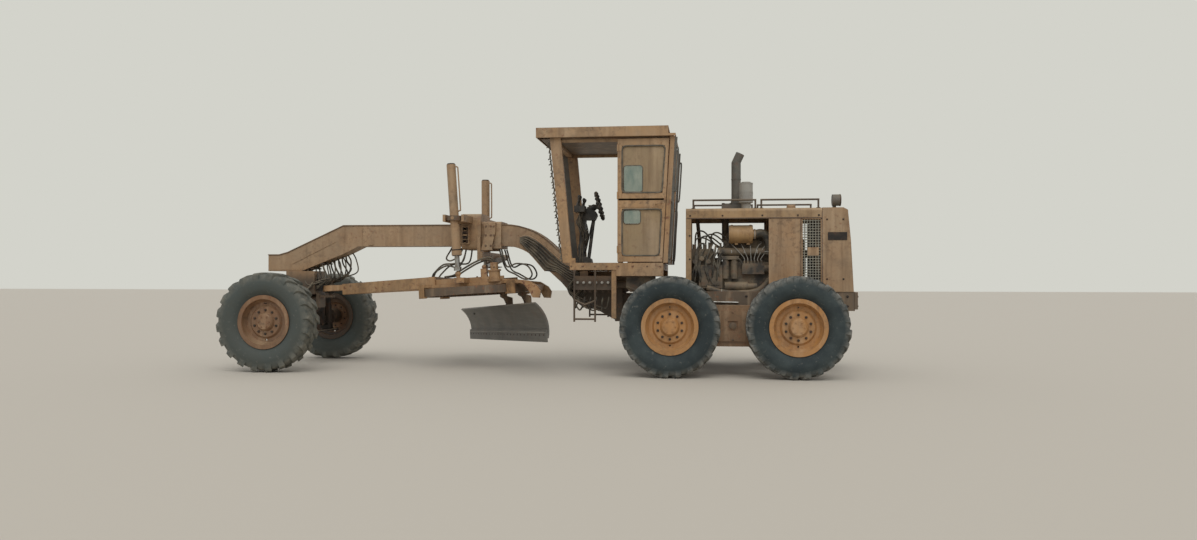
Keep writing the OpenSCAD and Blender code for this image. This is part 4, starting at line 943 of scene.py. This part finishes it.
def dress_engine():
    """The open left side: injection lines, hoses, clamps, ducts and small iron."""
    rng = random.Random(23)
    lines = []
    for i in range(6):
        x0, x1 = 6.08 + 0.044 * i, 5.878 + 0.135 * i
        lines.append(tube([(x0, -0.3, 1.425), (x0 - 0.004, -0.306, 1.47),
                           ((x0 + x1) / 2, -0.322 + 0.006 * i, 1.585 + 0.008 * i),
                           (x1 + 0.02, -0.24, 1.668), (x1, -0.165, 1.69)], 0.005, 6))
    piece("injection_lines", lines, REAR, ZINC)
    hoses = []
    for i in range(11):
        x = 5.415 + 0.036 * i
        z = 1.06 + 0.05 * (i % 3)
        hoses.append(tube([(x, -0.255, z), (x + rng.uniform(-0.04, 0.04), -0.335, z + 0.13),
                           (x + rng.uniform(-0.05, 0.06), -0.338, z + 0.3),
                           (x + rng.uniform(0, 0.08), -0.285, z + 0.42 + 0.03 * (i % 4)),
                           (x + 0.08, -0.205, z + 0.5)], 0.011 + 0.002 * (i % 2)))
    for i in range(5):
        x = 5.45 + 0.068 * (i % 4)
        hoses.append(tube([(x, -0.2, 1.655), (x + 0.02, -0.24, 1.72 + 0.02 * i),
                           (x + 0.12, -0.22, 1.73 + 0.02 * i), (x + 0.25, -0.18, 1.66),
                           (5.79, -0.15, 1.6)], 0.01))
    hoses += [
        tube([(5.79, -0.285, 1.105), (5.7, -0.325, 1.12), (5.62, -0.335, 1.25),
              (5.6, -0.315, 1.42)], 0.012),
        tube([(6.42, -0.29, 1.33), (6.47, -0.325, 1.36), (6.5, -0.3, 1.48),
              (6.46, -0.22, 1.58)], 0.011),
        tube([(5.98, -0.335, 1.47), (6.03, -0.338, 1.44), (6.06, -0.33, 1.36)], 0.009)]
    piece("engine_hoses", hoses, REAR, HOSE)
    pipe = tube([(5.6, -0.332, 1.085), (5.8, -0.338, 1.03), (6.02, -0.338, 1.02),
                 (6.24, -0.335, 1.05), (6.38, -0.33, 1.17), (6.5, -0.325, 1.36),
                 (6.62, -0.3, 1.48), (6.8, -0.24, 1.5)], 0.036, 14)
    piece("lower_coolant_pipe", [pipe], REAR, IRON)
    duct = [tube([(6.215, -0.3, 1.775), (6.285, -0.302, 1.79), (6.345, -0.304, 1.765),
                  (6.385, -0.306, 1.69), (6.395, -0.304, 1.6), (6.38, -0.29, 1.52)],
                 0.052, 18)]
    duct += [lathe([(0, 0.0535), (0.006, 0.056), (0.012, 0.0535)],
                   (6.391 + 0.001 * k, -0.305, 1.56 + 0.022 * k), UP, 18) for k in range(7)]
    piece("intake_duct", duct, REAR, HOSE)
    clips = [lathe([(0, r), (0.012, r)], at, axis, 22) for r, at, axis in (
        (0.066, (6.205, -0.3, 1.775), (1, 0, 0)), (0.056, (6.385, -0.295, 1.545), UP),
        (0.04, (5.78, -0.338, 1.036), (1, 0, -0.2)), (0.04, (6.46, -0.327, 1.3), (0.5, 0, 1)))]
    clips += [block((5.748 + 0.162 * k, -0.3165, 1.53), (5.762 + 0.162 * k, -0.206, 1.574), 0.003)
              for k in range(5)]
    piece("pipe_clips", clips, REAR, ZINC)
    covers = (5.85, 6.13, 6.41)
    iron = bolts([(x + dx, 0, 1.79) for x in covers for dx in (0.03, 0.115, 0.2)], UP,
                 0.022, 0.012)
    iron += bolts([(x + dx, -0.134, 1.772) for x in covers for dx in (0.02, 0.115, 0.21)], UP,
                  0.014, 0.007)
    iron += bolts([(5.85 + 0.085 * k, -0.17, 1.665) for k in range(11)], NEAR, 0.018, 0.008)
    iron += bolts([(5.83 + 0.105 * k, -0.26, 0.985) for k in range(9)], NEAR, 0.016, 0.008)
    for k in range(5):
        x = 5.83 + 0.17 * k
        iron.append(slab([(x, 1.02), (x + 0.1, 1.02), (x + 0.1, 1.185), (x + 0.05, 1.21),
                          (x, 1.185)], -0.268, -0.258, 0.004))
    iron.append(slab([(6.655, 1.02), (6.71, 1.02), (6.71, 1.62), (6.655, 1.66)], -0.24, 0.24,
                     0.008))
    iron += [lathe([(0, 0.034), (0.012, 0.034), (0.014, 0.026), (0.03, 0.026)], (x, -0.325, z),
                   NEAR, 16) for x, z in ((5.45, 1.42), (5.535, 1.46), (5.62, 1.42))]
    iron += [block((5.53, -0.338, 1.1), (5.62, -0.328, 1.34)),
             block((5.66, -0.338, 1.12), (5.77, -0.328, 1.3))]
    piece("small_castings", iron, REAR, IRON)
    rail_pipe = tube([(5.5, -0.452, 0.905), (5.7, -0.46, 0.905), (6.0, -0.455, 0.9)],
                     0.012, 10)
    piece("bright_rail_pipe", [rail_pipe], REAR, CHROME)


def dress_stack():
    """Clamps and cap straps on the stack, vanes on the precleaner, rim and lens of the lamp."""
    parts = [lathe([(0, r), (high, r)], (5.99, 0.1, HOOD_Z + rise))
             for r, high, rise in ((0.07, 0.03, 0.105), (0.066, 0.012, 0.42))]
    parts += [block((5.8 + 0.1 * i, -0.001, HOOD_Z + 0.098),
                    (5.84 + 0.1 * i, 0.18, HOOD_Z + 0.106)) for i in range(3)]
    piece("stack_clamps", parts, REAR, RUSTY)
    bowl = (6.11, -0.15, HOOD_Z)
    vanes = [lathe([(0, 0.0885), (0.012, 0.0885)], (*bowl[:2], HOOD_Z + rise), UP, 32)
             for rise in (0.095, 0.225, 0.335)]
    for (x0, y0, z), (x1, y1, z) in zip(around(bowl, 0.0875, 16), around(bowl, 0.0875, 16, 0.5)):
        vanes.append(straight([(x0, y0, z + 0.1), (x1, y1, z + 0.22)], 0.003, 5))
    piece("precleaner_vanes", vanes, REAR, ZINC)
    rim = [lathe([(0, 0.078), (0.012, 0.08), (0.016, 0.074)], (7.318, 0, HOOD_Z + 0.13),
                 (1, 0, 0)),
           straight([(7.262, 0, HOOD_Z + 0.02), (7.262, 0, HOOD_Z + 0.06)], 0.014, 8)]
    piece("work_lamp_rim", rim, REAR, GREASY)
    lens = lathe([(0, 0.07), (0.006, 0.062), (0.01, 0.04), (0.011, 0.01)],
                 (7.328, 0, HOOD_Z + 0.13), (1, 0, 0))
    piece("work_lamp_lens", [lens], REAR, GLASS)


def dress_rear_frame():
    """Bolts of the rails, of the tandem covers and of the rear bumper."""
    rail = [(x, -0.441, z) for x in (5.05, 5.25, 5.45, 6.1, 6.3, 7.25, 7.35)
            for z in (0.86, 0.98)]
    piece("rail_bolts", both(bolts(rail, NEAR)), REAR, GREASY)
    mid = (MID_X + REAR_X) / 2
    covers = bolts([(mid + dx, -0.819, REAR_R + dz) for dx in (-0.19, 0, 0.19)
                    for dz in (-0.17, 0.17)], NEAR, 0.022, 0.01)
    covers.append(lathe([(0, 0.045), (0.01, 0.045), (0.014, 0.03)], (mid, -0.8, REAR_R),
                        NEAR, 20))
    for x in (MID_X, REAR_X):
        covers += bolts(around((x, -0.8, REAR_R), 0.205, 12, up=NEAR), NEAR,
                        0.02, 0.01)
    piece("tandem_cover_bolts", both(covers), REAR, FRAME_ENAMEL)
    bumper = [lathe([(0, 0.03), (0.02, 0.03), (0.026, 0.02)], (7.496, 0.095, 0.938), UP, 18)]
    bumper += bolts([(7.477, y, z) for y in (-0.4, -0.22, 0.22, 0.4) for z in (0.86, 0.98)],
                    (1, 0, 0))
    piece("bumper_bolts", bumper, REAR, GREASY)


# Drawbar, circle and blade
def dress_drawbar():
    """Bolts of the drawbar and the hoses of the circle's gearbox."""
    heads = [(x, s * 0.42, 0.01) for x in (1.7, 1.9, 2.2) for s in (-1, 1)]
    heads += [(2.0, s * y, 0.005) for y in (0.25, 0.5, 0.62) for s in (-1, 1)]
    heads += around((2.44, -0.43, 0.118), 0.088, 8, 0.2)
    piece("drawbar_bolts", placed(bolts(heads, UP), ON_BAR), "drawbar", GREASY)
    hoses = [tube([(2.44, -0.39, 0.17), (2.36, -0.37, 0.23), (2.2, -0.34, 0.2),
                   (2.02, -0.3, 0.12), (1.88, -0.26, 0.055), (1.74, -0.22, 0.045)], 0.012),
             tube([(2.47, -0.4, 0.165), (2.38, -0.42, 0.26), (2.2, -0.41, 0.22),
                   (2.0, -0.38, 0.13), (1.86, -0.33, 0.06), (1.72, -0.28, 0.045)], 0.012)]
    piece("circle_gearbox_hoses", placed(hoses, ON_BAR), "drawbar", HOSE)


def dress_blade():
    """The cutting edge in two lengths, with its plough bolts."""
    face, foot = 0.372, -0.647
    edges = [block((face - 0.028, y0, foot), (face - 0.018, y1, foot + 0.112), 0.002)
             for y0, y1 in ((-1.825, -0.003), (0.003, 1.825))]
    ridge = straight([(face - 0.024, y, foot + 0.118) for y in (-1.82, 1.82)], 0.005)
    rows = [(face - 0.0275, -1.75 + 0.152 * k, foot + 0.085) for k in range(24)]
    piece("cutting_edges", placed(edges, ON_CIRCLE), "blade", BLADE)
    piece("edge_joint", placed([ridge], ON_CIRCLE), "blade", ZINC)
    piece("plough_bolts", placed(bolts(rows, (-1, 0, 0), 0.018, 0.004), ON_CIRCLE), "blade",
          GREASY)


# Cylinders
def along(p, q):
    """A frame at p with its Z towards q."""
    p, q = Vector(p), Vector(q)
    return Matrix.Translation(p) @ (q - p).to_track_quat("Z", "X").to_matrix().to_4x4()


def dress_cylinders():
    """Gland rings and the thin steel pipe behind each lift barrel."""
    studs = ((2.011, -0.655, 0.06), (2.052, 0.64, 0.06))
    gimbals = (2.352, 2.44)
    ups = (0.7, 0.63)
    for (side, _), stud, x, up in zip(SIDES, studs, gimbals, ups):
        eye = ON_BAR @ Vector(stud)
        line = along((x, eye.y, 1.98), eye)
        parts = [lathe([(0, 0.0655), (0.012, 0.0655)], (0, 0, 0.405)),
                 lathe([(0, 0.048), (0.014, 0.052), (0.016, 0.0585)], (0, 0, -up - 0.014))]
        parts += bolts(around((0, 0, 0.482), 0.05, 6), UP, 0.014, 0.008)
        pipe = tube([(0.05, 0, -up + 0.03), (0.082, 0, -up + 0.04), (0.088, 0, -up + 0.1),
                     (0.088, 0, -0.14), (0.08, 0, -0.1), (0.052, 0, -0.085)], 0.009)
        rear = line.inverted().to_3x3() @ Vector((1, 0, 0))
        spin = Matrix.Rotation(atan2(rear.y, rear.x), 4, "Z")
        body = f"lift_barrel_{side}"
        piece(f"lift_gland_{side}", placed(parts, line), body, GREASY)
        piece(f"lift_pipe_{side}", placed([pipe], line @ spin), body, ENAMEL)


def dress_front_axle():
    """Pin cap, and the steel pipe with its clips behind the axle."""
    ahead = (-1, 0, 0)
    cap = [lathe([(0, 0.085), (0.012, 0.085), (0.018, 0.07)], (-0.195, 0, 0.87), ahead)]
    cap += bolts(around((-0.207, 0, 0.87), 0.062, 6, up=ahead), ahead, 0.016, 0.008)
    piece("axle_pin_cap", cap, FRONT, GREASY)
    pipe = tube([(0.092, -0.44, 0.86), (0.096, 0, 0.858), (0.092, 0.46, 0.86)], 0.011)
    piece("axle_steel_pipe", [pipe], FRONT, CHROME)
    clips = [block((0.078, y - 0.015, 0.842), (0.112, y + 0.015, 0.876), 0.003)
             for y in (-0.42, -0.2, 0.2, 0.44)]
    piece("axle_pipe_clips", clips, FRONT, GREASY)


def dress_valves():
    """Hoses and fittings that hang round the valve banks under the cab's front edge."""
    rng = random.Random(31)
    hoses, fittings = [], []
    for s in (-1, 1):
        for i in range(6):
            x = 3.97 + 0.078 * i
            fittings.append(lathe([(0, 0.019), (0.014, 0.019), (0.016, 0.012), (0.034, 0.012)],
                                  (x, s * 0.662, 1.15), (0, s, 0), 6))
            back, drop = rng.uniform(0, 0.06), rng.uniform(0, 0.05)
            hoses.append(tube([(x, s * 0.58, 0.965), (x - 0.01, s * 0.585, 0.9),
                               (x - 0.05 - back, s * 0.52, 0.83 - drop),
                               (3.9 - 0.02 * i, s * 0.36, 0.9 + 0.03 * i),
                               (3.905, s * (0.155 - 0.01 * (i % 2)), 1.02 + 0.035 * i)], 0.01))
        for i in range(8):
            y = s * (0.54 - 0.052 * i)
            low = 0.98 + rng.uniform(-0.12, 0.1)
            hoses.append(tube([(3.985, y, 1.215), (3.9 - 0.01 * (i % 3), y, 1.185),
                               (3.845 - rng.uniform(0, 0.05), y * 0.96, 1.08),
                               (3.86 + rng.uniform(-0.03, 0.05), y * 0.9, low),
                               (3.93, y * 0.8, low + 0.03), (4.02, y * 0.66, low + 0.12)],
                              0.009 + 0.002 * (i % 2)))
    piece("valve_hoses", hoses, FRONT, HOSE)
    piece("valve_fittings", fittings, FRONT, ZINC)


def dress_saddle():
    """Hose loops, valve stack and bolts at the lift saddle."""
    runs = [
        [(2.365, -0.165, 1.65), (2.3, -0.18, 1.6), (2.213, -0.178, 1.645),
         (2.15, -0.176, 1.56), (2.103, -0.172, 1.472), (2.16, -0.168, 1.44),
         (2.262, -0.16, 1.5), (2.35, -0.158, 1.64)],
        [(2.38, -0.15, 1.64), (2.33, -0.17, 1.43), (2.2, -0.18, 1.4),
         (2.06, -0.186, 1.384), (1.935, -0.18, 1.272), (1.9, -0.15, 1.215)],
        [(2.4, -0.2, 1.64), (2.35, -0.21, 1.46), (2.273, -0.206, 1.351), (2.12, -0.21, 1.372),
         (1.98, -0.2, 1.3), (1.93, -0.18, 1.225)],
        [(2.86, -0.165, 1.6), (2.938, -0.182, 1.366), (3.07, -0.185, 1.402),
         (3.213, -0.18, 1.377), (3.28, -0.17, 1.273), (3.25, -0.168, 1.205),
         (3.169, -0.165, 1.197), (3.05, -0.16, 1.26), (2.92, -0.16, 1.34), (2.83, -0.16, 1.6)],
    ]
    hoses = [tube(run, 0.011) for run in runs]
    piece("saddle_hoses", hoses + mirrored(hoses[1::2]), FRONT, HOSE)
    stack = []
    for i in range(4):
        z = 1.675 + 0.055 * i
        stack.append(block((2.365, -0.322, z), (2.435, -0.298, z + 0.045), 0.006))
        stack += bolts([(x, -0.322, z + 0.022) for x in (2.38, 2.42)], NEAR, 0.012, 0.008)
    piece("saddle_valve_stack", stack, FRONT, GREASY)
    heads = [(x, -0.2455, z) for x in (2.665, 2.735, 2.775) for z in (1.64, 1.78, 1.9)]
    piece("saddle_bolts", both(bolts(heads, NEAR, 0.022, 0.01)), FRONT, FRAME_ENAMEL)


# Studio
def set_up_studio():
    """A pale floor, a pale sky for the camera and plain soft light."""
    ground = bpy.data.meshes.new("studio_floor")
    r = 90
    ground.from_pydata([(-r, -r, 0), (r, -r, 0), (r, r, 0), (-r, r, 0)], [], [(0, 1, 2, 3)])
    floor = bpy.data.objects.new("studio_floor", ground)
    bpy.context.scene.collection.objects.link(floor)
    ground.materials.append(Coat("pale_studio_floor", "#C4BCAF", 0.9).material)
    world = bpy.data.worlds.new("overcast_sky")
    bpy.context.scene.world = world
    world.use_nodes = True
    tree = world.node_tree
    tree.nodes.clear()
    rays = add(tree, "LightPath").outputs
    seen = add(tree, "Math", {0: rays["Is Camera Ray"], 1: rays["Is Transmission Ray"]},
               operation="MAXIMUM").outputs[0]
    light = add(tree, "Background", {"Color": linear("#E4E6E6"), "Strength": 0.8})
    sky = add(tree, "Background", {"Color": linear("#D3D3CB"), "Strength": 1.0})
    mixed = add(tree, "MixShader", {0: seen, 1: light.outputs[0], 2: sky.outputs[0]})
    add(tree, "OutputWorld", {"Surface": mixed.outputs[0]})
    lamp = bpy.data.lights.new("soft_sun", "SUN")
    lamp.energy = 1.1
    lamp.angle = radians(50)
    sun = bpy.data.objects.new("soft_sun", lamp)
    sun.rotation_euler = (radians(38), radians(8), 0)
    bpy.context.scene.collection.objects.link(sun)
    bpy.context.scene.view_settings.view_transform = "Standard"


set_up_camera()
set_up_studio()
finish_nodes()
fit_wheels()
dress_beam()
dress_nose()
for door_side, door_sign in SIDES:
    dress_door(door_side, door_sign)
dress_cab()
dress_controls()
dress_seat()
dress_hood()
dress_engine()
dress_stack()
dress_rear_frame()
dress_drawbar()
dress_blade()
dress_cylinders()
dress_valves()
dress_saddle()
dress_front_axle()
